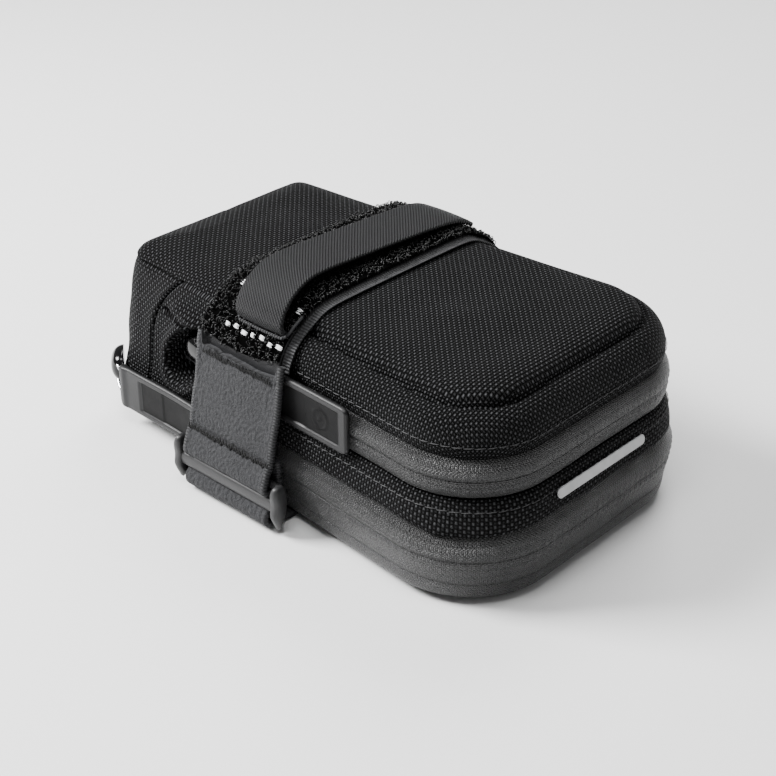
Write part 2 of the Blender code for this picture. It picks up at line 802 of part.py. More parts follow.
def zip_pull(tag, x, zip_offset, z_slider, z_pull, z_end, press, loop_reach):
    base = zip_offset + GAP
    # Slider: a domed body with a bridge over the loop's bar.
    sections = []
    half = SLIDER_LENGTH / 2
    for along, grow, rise in (
        (-half, 0.55, 1.5),
        (-half + 0.7, 0.8, 2.6),
        (-half * 0.4, 1.0, 3.5),
        (half * 0.3, 0.92, 3.5),
        (half - 0.8, 0.72, 2.4),
        (half, 0.6, 1.5),
    ):
        tall = SLIDER_HEIGHT / 2 * grow
        ring = [
            (0.0, -tall),
            (rise * 0.45, -tall),
            (rise * 0.8, -tall * 0.75),
            (rise, -tall * 0.35),
            (rise, tall * 0.35),
            (rise * 0.8, tall * 0.75),
            (rise * 0.45, tall),
            (0.0, tall),
        ]
        spot = beside_wall(x, base, z_slider)
        sections.append([spot + ALONG * along + OUT * o + Vector((0, 0, v)) for o, v in ring])
    slider = finish(tag + "_slider", loft(sections), GLOSS)
    # Wire loop from the bridge to the rubber pull.
    bar = beside_wall(x, base, z_slider) + OUT * 1.95
    reach = SLIDER_LENGTH / 2 + loop_reach
    tip = beside_wall(x, base, z_pull) + OUT * 1.55 + ALONG * reach
    wire = []
    for spot, sign in ((bar, -1), (bar, 1), (tip, 1), (tip, -1)):
        inner = ALONG if spot is bar else -ALONG
        up = Vector((0, 0, sign))
        if (spot is bar) == (sign == 1):
            wire += [spot + up * 2.6, spot + up * 3.3 + inner * 0.7]
        else:
            wire += [spot + up * 3.3 + inner * 0.7, spot + up * 2.6]
    loop = tube(tag + "_pull_loop", wire, 0.5, METAL, cyclic=True)
    room = tube(tag + "_loop_room", wire, 0.5 + GAP, None, cyclic=True, collection=cutters)
    room.hide_render = True
    room.display_type = "WIRE"
    # Rubber strip: a thick barrel at the loop, then a flat strip with a raised border.
    start = tip - ALONG * 1.6
    tall = PULL_HEIGHT / 2
    rows = []
    half = PULL_THICK / 2
    for along, back, front, dish, grow in (
        (0.0, -0.6, 0.6, 0.0, 0.94),
        (0.5, -1.2, 1.2, 0.0, 1.0),
        (2.8, -1.2, 1.2, 0.0, 1.0),
        (3.6, -half, half, 0.0, 1.0),
        (8.6, -half, half, 0.0, 1.0),
        (9.0, -half, half, DISH, 1.0),
        (PRESS_LENGTH * 0.5, -half, half, DISH, 1.0),
        (PRESS_LENGTH * 0.75, -half, half, DISH, 1.0),
        (PRESS_LENGTH, -half, half, DISH, 1.0),
        (PULL_LENGTH * 0.7, -half, half, DISH, 1.0),
        (PULL_LENGTH - 2.4, -half, half, DISH, 1.0),
        (PULL_LENGTH - 2.0, -half, half, 0.0, 1.0),
        (PULL_LENGTH - 1.0, -half, half, 0.0, 1.0),
        (PULL_LENGTH - 0.3, -half, half, 0.0, 0.93),
        (PULL_LENGTH, 0.2 - half, half - 0.2, 0.0, 0.84),
    ):
        lift = -press * ease(along / PRESS_LENGTH)
        z = (z_end - z_pull) * along / PULL_LENGTH
        spot = start + ALONG * along + OUT * lift + Vector((0, 0, z))
        edge = tall * grow
        lip = edge - 1.5
        ring = [
            (back, -edge + 0.3),
            (back + 0.3, -edge),
            (front - 0.3, -edge),
            (front, -edge + 0.3),
            (front, -lip),
            (front - dish, -lip + 0.2),
            (front - dish, lip - 0.2),
            (front, lip),
            (front, edge - 0.3),
            (front - 0.3, edge),
            (back + 0.3, edge),
            (back, edge - 0.3),
        ]
        rows.append([spot + OUT * o + Vector((0, 0, v)) for o, v in ring])
    puller = finish(tag + "_puller", loft(rows), RUBBER, 40.0)
    cut(slider, room)
    cut(puller, room)
    for obj in (loop, puller):
        set_origin(obj, bar)


zip_pull("upper", -35.5, UPPER_SWELL + 0.2, 32.6, 33.4, 34.6, 0.95, 5.0)
zip_pull("lower", -66.6, LOWER_SWELL + 0.2, 14.2, 11.2, 11.2, 1.1, 2.0)
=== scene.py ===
"""Looks of the two-compartment bicycle saddle bag: skins, zips, straps, stitching and pulls.

Frame: +X rear, -Y left side, +Z up, ground at z = 0. Lengths are millimetres; M turns them
into metres. Places come from the boxes of the CAD nodes.
"""

import math

import bmesh
import bpy
import numpy as np
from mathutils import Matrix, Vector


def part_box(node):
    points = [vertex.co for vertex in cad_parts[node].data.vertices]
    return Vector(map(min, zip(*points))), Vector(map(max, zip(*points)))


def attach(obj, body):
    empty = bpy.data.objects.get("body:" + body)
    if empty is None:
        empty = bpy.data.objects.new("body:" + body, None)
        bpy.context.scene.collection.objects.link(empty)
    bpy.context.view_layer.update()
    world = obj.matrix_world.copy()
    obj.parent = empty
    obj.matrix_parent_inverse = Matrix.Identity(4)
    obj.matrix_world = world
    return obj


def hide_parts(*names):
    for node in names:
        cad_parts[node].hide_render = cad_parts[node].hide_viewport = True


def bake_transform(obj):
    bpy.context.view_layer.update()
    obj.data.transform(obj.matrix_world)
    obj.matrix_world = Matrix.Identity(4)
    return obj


M = 0.001
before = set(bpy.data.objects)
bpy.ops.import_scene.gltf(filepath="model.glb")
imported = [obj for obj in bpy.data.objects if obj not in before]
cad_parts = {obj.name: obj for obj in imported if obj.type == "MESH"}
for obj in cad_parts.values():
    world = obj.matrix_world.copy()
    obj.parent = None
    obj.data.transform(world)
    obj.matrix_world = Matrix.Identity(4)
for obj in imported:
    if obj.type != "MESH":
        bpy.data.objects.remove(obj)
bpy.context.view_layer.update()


def low(node):
    return np.array(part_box(node)[0]) / M


def high(node):
    return np.array(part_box(node)[1]) / M


def between(below, above):
    """Height of the seam between a CAD node and the one above it."""
    return (high(below)[2] + low(above)[2]) / 2


# Plan outline of the bag: a rounded wedge. The divider stands inside it.
DIVIDER_INSET = 3.0
X_FRONT = low("divider")[0] - DIVIDER_INSET
X_REAR = high("divider")[0] + DIVIDER_INSET
HALF_FRONT = 33.0
HALF_REAR = 43.0
R_FRONT = 8.0
R_REAR = 21.0
TAPER = math.atan2(HALF_REAR - HALF_FRONT, X_REAR - X_FRONT)
SIN = math.sin(TAPER)
COS = math.cos(TAPER)

# The line along the middle that the rings of the lid, base and divider close on.
SPINE = (X_FRONT + 30, X_REAR - 36)

# Seam heights, from the ground up.
Z_BASE = between("base_rear", "lower_tape_base")
Z_LOWER_ZIP = between("lower_tape_base", "lower_tape_body")
Z_LOWER = between("lower_tape_body", "body_band")
Z_UPPER = between("body_band", "upper_tape_body")
Z_UPPER_ZIP = between("upper_tape_body", "upper_tape_lid")
Z_RIM = between("upper_tape_lid", "lid_rear")
Z_TOP = high("lid_rear")[2]
Z_TOP_SEAM = high("front_panel")[2] + 1.0

# Strap and its hardware.
STRAP_X0 = low("strap_top")[0]
STRAP_X1 = high("strap_top")[0]
STRAP_MID = (STRAP_X0 + STRAP_X1) / 2
STRAP_THICK = 1.5
SELVEDGE = 2.6
BUCKLE_Y = (low("buckle")[1] + high("buckle")[1]) / 2
BAR_HALF = 1.0
BAR_LOW = low("buckle")[2] + BAR_HALF
BAR_HIGH = high("buckle")[2] - BAR_HALF

# How far the upper and lower zips stand out from the outline.
UPPER_SWELL = 1.3
LOWER_SWELL = 3.6


# ---------------------------------------------------------------- numbers and curves
def ease(t):
    t = np.clip(t, 0.0, 1.0)
    return t * t * (3 - 2 * t)


def bell(value, centre, width):
    return np.exp(-(((value - centre) / width) ** 2))


def noise(u, v, size, seed):
    """Smooth noise from -1 to 1 over two coordinates, with lumps of the given size."""
    n = 256
    lattice = np.random.default_rng(seed).uniform(-1, 1, (n, n))
    u, v = np.broadcast_arrays(np.asarray(u, float) / size, np.asarray(v, float) / size)
    iu = np.floor(u).astype(int)
    iv = np.floor(v).astype(int)
    fu = ease(u - iu)
    fv = ease(v - iv)
    near = lattice[iu % n, iv % n] * (1 - fu) + lattice[(iu + 1) % n, iv % n] * fu
    iv = iv + 1
    far = lattice[iu % n, iv % n] * (1 - fu) + lattice[(iu + 1) % n, iv % n] * fu
    return near * (1 - fv) + far * fv


def spline(points, steps=12):
    """A smooth line through points, as a Catmull-Rom curve."""
    p = np.array(points, float)
    p = np.vstack([2 * p[0] - p[1], p, 2 * p[-1] - p[-2]])
    t = np.linspace(0, 1, steps, endpoint=False)[:, None]
    line = []
    for a, b, c, d in zip(p, p[1:], p[2:], p[3:]):
        square = (2 * a - 5 * b + 4 * c - d) * t**2
        cube = (3 * b - a - 3 * c + d) * t**3
        line.append(0.5 * (2 * b + (c - a) * t + square + cube))
    return np.vstack(line + [p[-2]])


def lengths(line):
    """Distance along a line at each of its points."""
    return np.concatenate([[0.0], np.cumsum(np.linalg.norm(np.diff(line, axis=0), axis=1))])


def resample(line, count):
    """The same line with evenly spaced points, and the distance along it at each."""
    along = lengths(line)
    at = np.linspace(0, along[-1], count)
    return np.stack([np.interp(at, along, line[:, k]) for k in range(line.shape[1])], 1), at


def plan_table():
    """Dense samples of the outline: x, y and the outward normal, from the middle of the front
    face down the left side, round the rear and back up the right side."""
    turn = math.pi / 2 + TAPER
    front = (X_FRONT + R_FRONT, HALF_FRONT - R_FRONT * (1 - SIN) / COS)
    rear = (X_REAR - R_REAR, HALF_REAR - R_REAR * (1 + SIN) / COS)

    def arc(centre, radius, start, end):
        angle = np.linspace(start, end, 60)
        normal = np.stack([np.cos(angle), np.sin(angle)], 1)
        return np.hstack([np.array(centre) + radius * normal, normal])

    face = [(X_FRONT, -front[1] * t, -1.0, 0.0) for t in np.linspace(0, 1, 20)]
    back = [(X_REAR, -rear[1] * (1 - t), 1.0, 0.0) for t in np.linspace(0, 1, 20)]
    first = arc((front[0], -front[1]), R_FRONT, math.pi, 2 * math.pi - turn)
    second = arc((rear[0], -rear[1]), R_REAR, -turn, 0.0)
    t = np.linspace(0, 1, 80)[:, None]
    side = first[-1] * (1 - t) + second[0] * t
    left = np.vstack([face, first[1:], side[1:], second[1:], back[1:]])
    right = left[::-1] * np.array([1, -1, 1, -1])
    return left, np.vstack([left, right[1:]])


LEFT_HALF, PLAN = plan_table()
PLAN_S = lengths(PLAN[:, :2])
PERIMETER = PLAN_S[-1]
S_REAR = PERIMETER / 2


def at(s):
    """x, y, nx, ny of the outline at distances s along it."""
    s = np.asarray(s, float) % PERIMETER
    return [np.interp(s, PLAN_S, PLAN[:, k]) for k in range(4)]


def s_of(x, side=-1):
    """Distance along the outline where a side reaches x."""
    s = np.interp(x, LEFT_HALF[:, 0], PLAN_S[: len(LEFT_HALF)])
    return s if side < 0 else PERIMETER - s


def place(s, off, z):
    """Points at offsets from the outline; s, off and z broadcast together."""
    s, off, z = np.broadcast_arrays(s, off, z)
    x, y, nx, ny = at(s)
    return np.stack([x + nx * off, y + ny * off, z], -1)


def half_width(x):
    return HALF_REAR - math.tan(TAPER) * (X_REAR - x)


# ---------------------------------------------------------------- meshes
def many_tubes(count, rows, sides):
    """Faces of a number of like tubes, one after another."""
    grid = np.arange(rows * sides).reshape(rows, sides)
    grid = np.hstack([grid, grid[:, :1]])
    one = np.stack([grid[:-1, :-1], grid[1:, :-1], grid[1:, 1:], grid[:-1, 1:]], -1).reshape(-1, 4)
    return (one[None] + (np.arange(count) * rows * sides)[:, None, None]).reshape(-1, 4)


class Stock:
    """The vertices and faces of one piece, in millimetres, gathered before it is made.
    Each vertex also holds its place on the flat cloth, which the weaves read."""

    def __init__(self):
        self.points = []
        self.cloth = []
        self.faces = []
        self.slots = []
        self.count = 0

    def add(self, points, cloth, faces, slot=0):
        self.points.append(np.asarray(points, float).reshape(-1, 3))
        self.cloth.append(np.asarray(cloth, float).reshape(-1, 3))
        self.faces.append(np.asarray(faces, int) + self.count)
        self.slots += [slot] * len(faces)
        self.count += len(self.points[-1])

    def grid(self, points, cloth=None, wrap_u=False, wrap_v=False, slot=0, flip=False):
        """A sheet of quads over points[u, v]."""
        nu, nv = points.shape[:2]
        if cloth is None:
            cloth = points
        if cloth.shape[-1] == 2:
            cloth = np.concatenate([cloth, np.zeros((nu, nv, 1))], -1)
        index = np.arange(nu * nv).reshape(nu, nv)
        if wrap_u:
            index = np.vstack([index, index[:1]])
        if wrap_v:
            index = np.hstack([index, index[:, :1]])
        corners = [index[:-1, :-1], index[1:, :-1], index[1:, 1:], index[:-1, 1:]]
        quads = np.stack(corners[::-1] if flip else corners, -1).reshape(-1, 4)
        self.add(points, cloth, quads, slot)

    def cap(self, faces):
        """More faces over vertices that are already there."""
        self.faces.append(np.array(faces))
        self.slots += [0] * len(faces)

    def tube(self, line, radius, sides, slot=0, closed=False):
        """A round thread or wire along a line."""
        line = np.asarray(line, float)
        if closed:
            along = np.roll(line, -1, 0) - np.roll(line, 1, 0)
        else:
            along = np.gradient(line, axis=0)
        along /= np.linalg.norm(along, axis=1)[:, None]
        guide = np.array([0.0, 0.0, 1.0]) if abs(along[0][2]) < 0.8 else np.array([1.0, 0.0, 0.0])
        across = np.zeros(line.shape)
        for i, way in enumerate(along):
            guide = guide - way * (guide @ way)
            guide /= np.linalg.norm(guide)
            across[i] = guide
        other = np.cross(along, across)
        angle = np.linspace(0, 2 * math.pi, sides, endpoint=False)[None, :, None]
        ring = across[:, None] * np.cos(angle) + other[:, None] * np.sin(angle)
        self.grid(line[:, None] + ring * radius, wrap_u=closed, wrap_v=True, slot=slot)

    def threads(self, starts, ends, lift, radius):
        """Many short stitches from starts to ends, arched along lift and tapered at the ends."""
        rows, sides = 7, 6
        starts, ends, lift = [np.asarray(a, float) for a in (starts, ends, lift)]
        t = np.linspace(0, 1, rows)
        along = (ends - starts) / np.linalg.norm(ends - starts, axis=1)[:, None]
        up = lift - along * (lift * along).sum(1)[:, None]
        up /= np.linalg.norm(up, axis=1)[:, None]
        side = np.cross(along, up)[:, None]
        up = up[:, None]
        step = t[None, :, None]
        arch = np.sin(math.pi * step) ** 0.6 * radius * 0.8
        core = starts[:, None] * (1 - step) + ends[:, None] * step + up * arch
        fat = radius * np.clip(np.sin(math.pi * np.linspace(0.04, 0.96, rows)) ** 0.4, 0.2, 1)
        angle = np.linspace(0, 2 * math.pi, sides, endpoint=False)[None, :, None]
        ring = up * np.cos(angle) + side * np.sin(angle)
        points = core[:, :, None] + ring[:, None] * fat[None, :, None, None]
        self.add(points, points, many_tubes(len(starts), rows, sides)[:, ::-1])

    def piece(self, name, *materials, thick=0.0, weld=False):
        """The finished object. thick gives it an inner face, in the second material if any."""
        points = np.vstack(self.points) * M
        faces = [tuple(f) for block in self.faces for f in block]
        data = bpy.data.meshes.new(name)
        data.from_pydata(points.tolist(), [], faces)
        data.polygons.foreach_set("material_index", self.slots)
        cloth = data.attributes.new("cloth", "FLOAT_VECTOR", "POINT")
        cloth.data.foreach_set("vector", np.vstack(self.cloth).astype(np.float32).ravel())
        for surface in materials:
            data.materials.append(surface)
        obj = bpy.data.objects.new(name, data)
        bpy.context.scene.collection.objects.link(obj)
        if weld:
            bm = bmesh.new()
            bm.from_mesh(data)
            bmesh.ops.remove_doubles(bm, verts=bm.verts, dist=0.00002)
            bm.to_mesh(data)
            bm.free()
        data.shade_smooth()
        if thick:
            solid = obj.modifiers.new("thickness", "SOLIDIFY")
            solid.thickness = thick * M
            solid.offset = -1.0
            solid.use_quality_normals = True
            solid.material_offset = len(materials) - 1
        return obj


def second_material(piece, test):
    """Gives the second material to the faces that pass a test on their corners' cloth
    coordinates, and the first to the rest."""
    data = piece.data
    cloth = np.zeros(len(data.vertices) * 3, np.float32)
    data.attributes["cloth"].data.foreach_get("vector", cloth)
    cloth = cloth.reshape(-1, 3)
    slots = [int(test(cloth[list(face.vertices)])) for face in data.polygons]
    data.polygons.foreach_set("material_index", slots)


# ---------------------------------------------------------------- materials
class Paint:
    """A material with short ways to add shader nodes."""

    def __init__(self, name, colour, roughness, **sockets):
        self.material = bpy.data.materials.new(name)
        self.material.use_nodes = True
        self.tree = self.material.node_tree
        self.shader = self.tree.nodes["Principled BSDF"]
        self.set(self.shader, "Base Color", (*colour, 1.0))
        self.set(self.shader, "Roughness", roughness)
        for socket, value in sockets.items():
            self.set(self.shader, socket.replace("_", " "), value)
        self.material.diffuse_color = (*colour, 1.0)

    def set(self, node, socket, value):
        """Sets a socket to a number, or joins it to another node's output."""
        target = node.inputs[socket]
        if isinstance(value, bpy.types.NodeSocket):
            self.tree.links.new(value, target)
        else:
            target.default_value = value

    def node(self, kind, *values, **settings):
        made = self.tree.nodes.new("ShaderNode" + kind)
        for key, value in settings.items():
            setattr(made, key, value)
        for i, value in enumerate(values):
            if value is not None:
                self.set(made, i, value)
        return made

    def math(self, operation, *values):
        return self.node("Math", *values, operation=operation).outputs[0]

    def scaled(self, value, factor, extra):
        """value * factor + extra."""
        return self.math("MULTIPLY_ADD", value, factor, extra)

    def tint(self, tone, dark, colour):
        """Colours the surface from dark to colour as the tone rises from 0 to 1."""
        made = self.node("Mix", data_type="RGBA")
        self.set(made, "Factor", self.node("Clamp", tone).outputs[0])
        self.set(made, 6, (*dark, 1.0))
        self.set(made, 7, (*colour, 1.0))
        self.set(self.shader, "Base Color", made.outputs[2])

    def rough(self, value, factor, extra):
        self.set(self.shader, "Roughness", self.scaled(value, factor, extra))

    def cloth(self):
        """The two coordinates of the flat cloth, in millimetres."""
        spot = self.node("Attribute", attribute_name="cloth")
        parts = self.node("SeparateXYZ", spot.outputs["Vector"])
        return parts.outputs[0], parts.outputs[1], spot.outputs["Vector"]

    def hump(self, value, pitch, power=1.0):
        """Rises from 0 to 1 and back once per pitch."""
        t = self.math("MULTIPLY", self.math("PINGPONG", self.math("DIVIDE", value, pitch), 0.5), 2.0)
        dome = self.math("MULTIPLY", t, self.math("SUBTRACT", 2.0, t))
        return dome if power == 1.0 else self.math("POWER", dome, power)

    def speckle(self, vector, scale, detail):
        made = self.node("TexNoise", vector)
        self.set(made, "Scale", scale)
        self.set(made, "Detail", detail)
        return made.outputs[0]

    def bump(self, height, depth):
        """Depth is in millimetres."""
        made = self.node("Bump")
        self.set(made, "Height", height)
        self.set(made, "Distance", depth * M)
        self.set(made, "Strength", 1.0)
        self.set(self.shader, "Normal", made.outputs[0])

    def plain_weave(self, cell, weft):
        """Height of a plain weave, round floats of warp with lower weft between them, and the
        coordinates of the cloth."""
        u, v, spot = self.cloth()
        across = self.hump(u, cell, 1.2)
        along = self.hump(v, cell, 1.2)
        columns = self.math("FLOOR", self.math("DIVIDE", u, cell))
        rows = self.math("FLOOR", self.math("DIVIDE", v, cell))
        over = self.math("PINGPONG", self.math("ADD", columns, rows), 1.0)
        warp = self.math("MULTIPLY", across, self.math("POWER", along, 0.6))
        under = self.math("MULTIPLY", self.math("POWER", across, 0.6), along)
        under = self.math("MULTIPLY", under, weft)
        under = self.math("MULTIPLY", under, self.math("SUBTRACT", 1.0, over))
        return self.math("ADD", self.math("MULTIPLY", warp, over), under), u, v, spot


def weave_paint(name, colour, dark, cell, depth, roughness=0.62, sheen=0.0):
    """Coarse plain weave of textured nylon. Its colour darkens into the gaps between the yarns as
    painted shade and lightens on the tops of the floats as painted highlight.
    """
    p = Paint(name, colour, roughness, Sheen_Weight=sheen, Sheen_Roughness=0.5,
              Specular_IOR_Level=0.06)
    height, _, _, spot = p.plain_weave(cell, 0.4)
    fuzz = p.speckle(spot, 2.2, 3.0)
    patch = p.math("SUBTRACT", p.speckle(spot, 0.055, 2.0), 0.5)
    # painted shade and highlight: the tone follows the yarn height, dark in the gaps between yarns and
    # light on the float tops, mixed with random fuzz
    tone = p.scaled(fuzz, 0.45, p.scaled(height, 1.9, -0.7))
    p.tint(p.scaled(patch, 0.35, tone), dark, colour)
    p.rough(fuzz, 0.24, roughness - 0.12)
    p.bump(p.scaled(fuzz, 0.28, height), depth)
    return p.material


def coated_paint(name, colour, dark):
    """Satin polyurethane over a fine fabric whose weave shows through."""
    p = Paint(name, colour, 0.46, Specular_IOR_Level=0.6)
    height, u, v, spot = p.plain_weave(0.42, 0.35)
    slant = p.hump(p.math("ADD", u, p.math("MULTIPLY", p.hump(v, 2.4), 0.9)), 0.84)
    fuzz = p.speckle(spot, 1.4, 3.0)
    patch = p.speckle(spot, 0.09, 2.0)
    grain = p.scaled(slant, 0.45, p.math("MULTIPLY", height, 0.6))
    p.tint(p.scaled(patch, 0.6, p.math("MULTIPLY", grain, 0.35)), dark, colour)
    p.rough(fuzz, 0.24, 0.25)
    p.bump(p.scaled(fuzz, 0.7, grain), 0.42)
    return p.material


def twill_paint(name, colour, dark, pitch, depth, roughness=0.55):
    """Fine diagonal twill of a flat webbing."""
    p = Paint(name, colour, roughness, Specular_IOR_Level=0.22)
    u, v, spot = p.cloth()
    rib = p.hump(p.math("ADD", u, v), pitch, 0.8)
    yarn = p.hump(p.math("SUBTRACT", u, v), pitch * 0.9, 0.5)
    height = p.math("MULTIPLY", rib, p.scaled(yarn, 0.3, 0.7))
    fuzz = p.speckle(spot, 1.1, 3.0)
    p.tint(p.scaled(fuzz, 0.4, p.scaled(height, 0.7, -0.1)), dark, colour)
    p.rough(fuzz, 0.2, roughness - 0.1)
    p.bump(height, depth)
    return p.material


def rib_paint(name, colour, dark, pitch, depth):
    """Cross ribs of a woven selvedge."""
    p = Paint(name, colour, 0.6, Specular_IOR_Level=0.3)
    u, v, spot = p.cloth()
    height = p.hump(u, pitch, 0.8)
    fuzz = p.speckle(spot, 1.6, 2.0)
    p.tint(p.scaled(fuzz, 0.3, p.math("MULTIPLY", height, 0.75)), dark, colour)
    p.bump(p.scaled(fuzz, 0.2, height), depth)
    return p.material


def suede_paint(name, colour, dark):
    """Microfibre with a soft, slightly pebbled face."""
    p = Paint(name, colour, 0.85, Sheen_Weight=0.03, Specular_IOR_Level=0.12)
    spot = p.cloth()[2]
    pebble = p.speckle(spot, 1.05, 2.0)
    fuzz = p.speckle(spot, 3.2, 3.0)
    p.tint(p.scaled(pebble, 0.7, p.math("MULTIPLY", fuzz, 0.35)), dark, colour)
    p.rough(fuzz, 0.2, 0.74)
    p.bump(p.scaled(fuzz, 0.35, pebble), 0.75)
    return p.material


def grain_paint(name, colour, roughness, scale, depth, spread=0.15, **sockets):
    """A moulded, painted or spun surface with fine grain and uneven gloss."""
    p = Paint(name, colour, roughness, **sockets)
    spot = p.node("TexCoord").outputs["Object"]
    fuzz = p.speckle(spot, scale * 1000, 3.0)
    patch = p.speckle(spot, scale * 60, 2.0)
    p.tint(p.scaled(patch, 1.4, -0.2), tuple(c * 0.72 for c in colour), colour)
    p.rough(patch, spread, roughness - spread / 2)
    p.bump(fuzz, depth)
    return p.material


# For WEAVE and LINING the second colour is painted shade in the gaps between the yarns and the first is
# reached on the lit float tops; random fuzz and patches vary it as well.
WEAVE = weave_paint("coarse_weave", (0.05, 0.0505, 0.053), (0.0001, 0.0001, 0.0001), 0.88, 1.0)
COATED = coated_paint("coated_tape", (0.009, 0.0091, 0.0096), (0.0006, 0.0006, 0.0007))
BASE_FABRIC = coated_paint("base_fabric", (0.010, 0.0102, 0.0108), (0.002, 0.002, 0.0022))
LINING = weave_paint("lining", (0.06, 0.06, 0.063), (0.02, 0.02, 0.021), 0.45, 0.12, 0.6, 0.02)
TWILL = twill_paint("webbing_twill", (0.0125, 0.0127, 0.014), (0.0002, 0.0002, 0.0003), 1.0, 0.42)
STRAP_CLOTH = twill_paint("strap_cloth", (0.012, 0.012, 0.013), (0.002, 0.002, 0.0022), 0.9, 0.2)
SATIN = twill_paint("window_satin", (0.016, 0.0162, 0.0175), (0.01, 0.01, 0.0108), 0.4, 0.03, 0.4)
RIBS = rib_paint("selvedge_ribs", (0.026, 0.0263, 0.0285), (0.0003, 0.0003, 0.0004), 0.8, 0.32)
SUEDE = suede_paint("microfibre", (0.05, 0.0504, 0.0535), (0.004, 0.0041, 0.0044))
PILE = grain_paint("loop_pile", (0.0014, 0.0014, 0.0015), 0.36, 4.0, 0.05, 0.3, Specular_IOR_Level=0.35)
PILE_BED = grain_paint("pile_bed", (0.0006, 0.0006, 0.0006), 0.95, 3.0, 0.05, Specular_IOR_Level=0.02)
THREAD = grain_paint("grey_thread", (0.022, 0.022, 0.0235), 0.6, 5.0, 0.04)
DARK_THREAD = grain_paint("dark_thread", (0.0035, 0.0035, 0.0036), 0.7, 5.0, 0.04,
                          Specular_IOR_Level=0.25)
WHITE_THREAD = grain_paint("reflective_thread", (0.85, 0.86, 0.87), 0.35, 6.0, 0.05)
REFLECTIVE = grain_paint("reflective_film", (0.46, 0.465, 0.47), 0.4, 6.0, 0.02)
COIL = grain_paint("nylon_coil", (0.004, 0.004, 0.0042), 0.35, 3.0, 0.02)
RUBBER = grain_paint("rubber", (0.008, 0.008, 0.0086), 0.45, 3.0, 0.04, 0.2, Specular_IOR_Level=0.3)
RUBBER_FACE = grain_paint("rubber_face", (0.0025, 0.0025, 0.0027), 0.5, 5.0, 0.05, 0.2,
                          Specular_IOR_Level=0.1)
ACETAL = grain_paint("acetal", (0.012, 0.012, 0.0128), 0.48, 2.0, 0.03, 0.2)
GLOSS = grain_paint("painted_zinc", (0.002, 0.002, 0.0022), 0.16, 1.0, 0.01, 0.08,
                    Specular_IOR_Level=0.35)
METAL = grain_paint("plated_metal", (0.7, 0.7, 0.71), 0.18, 1.0, 0.01, 0.1, Metallic=1.0)


def with_bag(piece):
    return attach(piece, "bag")


def with_lid(piece):
    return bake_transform(piece)


def with_base(piece):
    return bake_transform(piece)


def fit(piece, body, nodes):
    """Puts a piece on a body, or hands it to a function that sets its place, and hides the CAD nodes it
    stands for.
    """
    if callable(body):
        body(piece)
    else:
        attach(piece, body)
    if nodes:
        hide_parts(*nodes)


# ---------------------------------------------------------------- lid
def profile(points, rows):
    """Offsets and heights along an outline of the wall, low end first."""
    line, along = resample(spline(points), rows)
    return line[:, 0], line[:, 1], along


def rings_to_spine(rim, count, height):
    """Rings from a closed rim in to the spine, easing to a height of their own."""
    target = np.stack([np.clip(rim[:, 0], *SPINE), np.zeros(len(rim))], 1)
    t = ease(np.linspace(0, 1, count + 1)[1:] * 0.5) * 2
    flat = rim[:, None, :2] * (1 - t)[None, :, None] + target[:, None] * t[None, :, None]
    settle = ease(t / 0.7)[None]
    z = rim[:, 2:] * (1 - settle) + height(flat[..., 0], flat[..., 1]) * settle
    return np.concatenate([flat, z[..., None]], -1)


LID_ROWS = 64
LID_FLAT = 17.0

# Further in than this, the lid's cloth runs over the top and not up the wall.
LID_KNEE = -6.5
REAR_RIM = [
    (-0.5, Z_RIM + 0.1), (-0.15, 39.3), (0.15, 40.6), (0.1, 42.4), (-0.5, 44.6), (-1.7, 46.6),
    (-3.3, 48.0), (-4.7, 48.6), (-5.5, 48.1), (-6.0, 48.3), (-6.5, 49.6), (-7.7, 51.0),
    (-9.8, 52.0), (-13.0, 52.5), (-LID_FLAT, 52.8),
]
FRONT_RIM = [
    (-1.0, Z_RIM + 0.3), (-0.6, 41.0), (-0.8, 43.0), (-1.4, 45.3), (-2.2, Z_TOP_SEAM), (-3.2, 48.3),
    (-4.8, 49.5), (-7.0, 50.5), (-10.0, 51.5), (-13.5, 52.2), (-LID_FLAT, 52.6),
]
NOSE_RIM = [
    (-2.4, Z_TOP_SEAM - 0.1), (-2.2, Z_TOP_SEAM + 0.25), (-2.6, 48.2), (-3.8, 49.3), (-6.2, 50.5),
    (-10.0, 51.6), (-13.5, 52.2), (-LID_FLAT, 52.6),
]


def lid_surface(s):
    """Offset, height and flat length of the lid at stations s, for each row."""
    x = at(s)[0][:, None]
    rear = ease((x + 18.0) / 22.0)
    nose = 1 - ease((x + 24.0) / 12.0)
    parts = [(rear, REAR_RIM), ((1 - nose) * (1 - rear), FRONT_RIM), (nose, NOSE_RIM)]
    return sum(share[None] * np.array(profile(rim, LID_ROWS))[:, None] for share, rim in parts)


def strap_squeeze(x):
    """How much the strap presses in the cloth at x, 0 to 1."""
    return ease((x - STRAP_X0 + 9) / 12) * ease((STRAP_X1 + 9 - x) / 12)


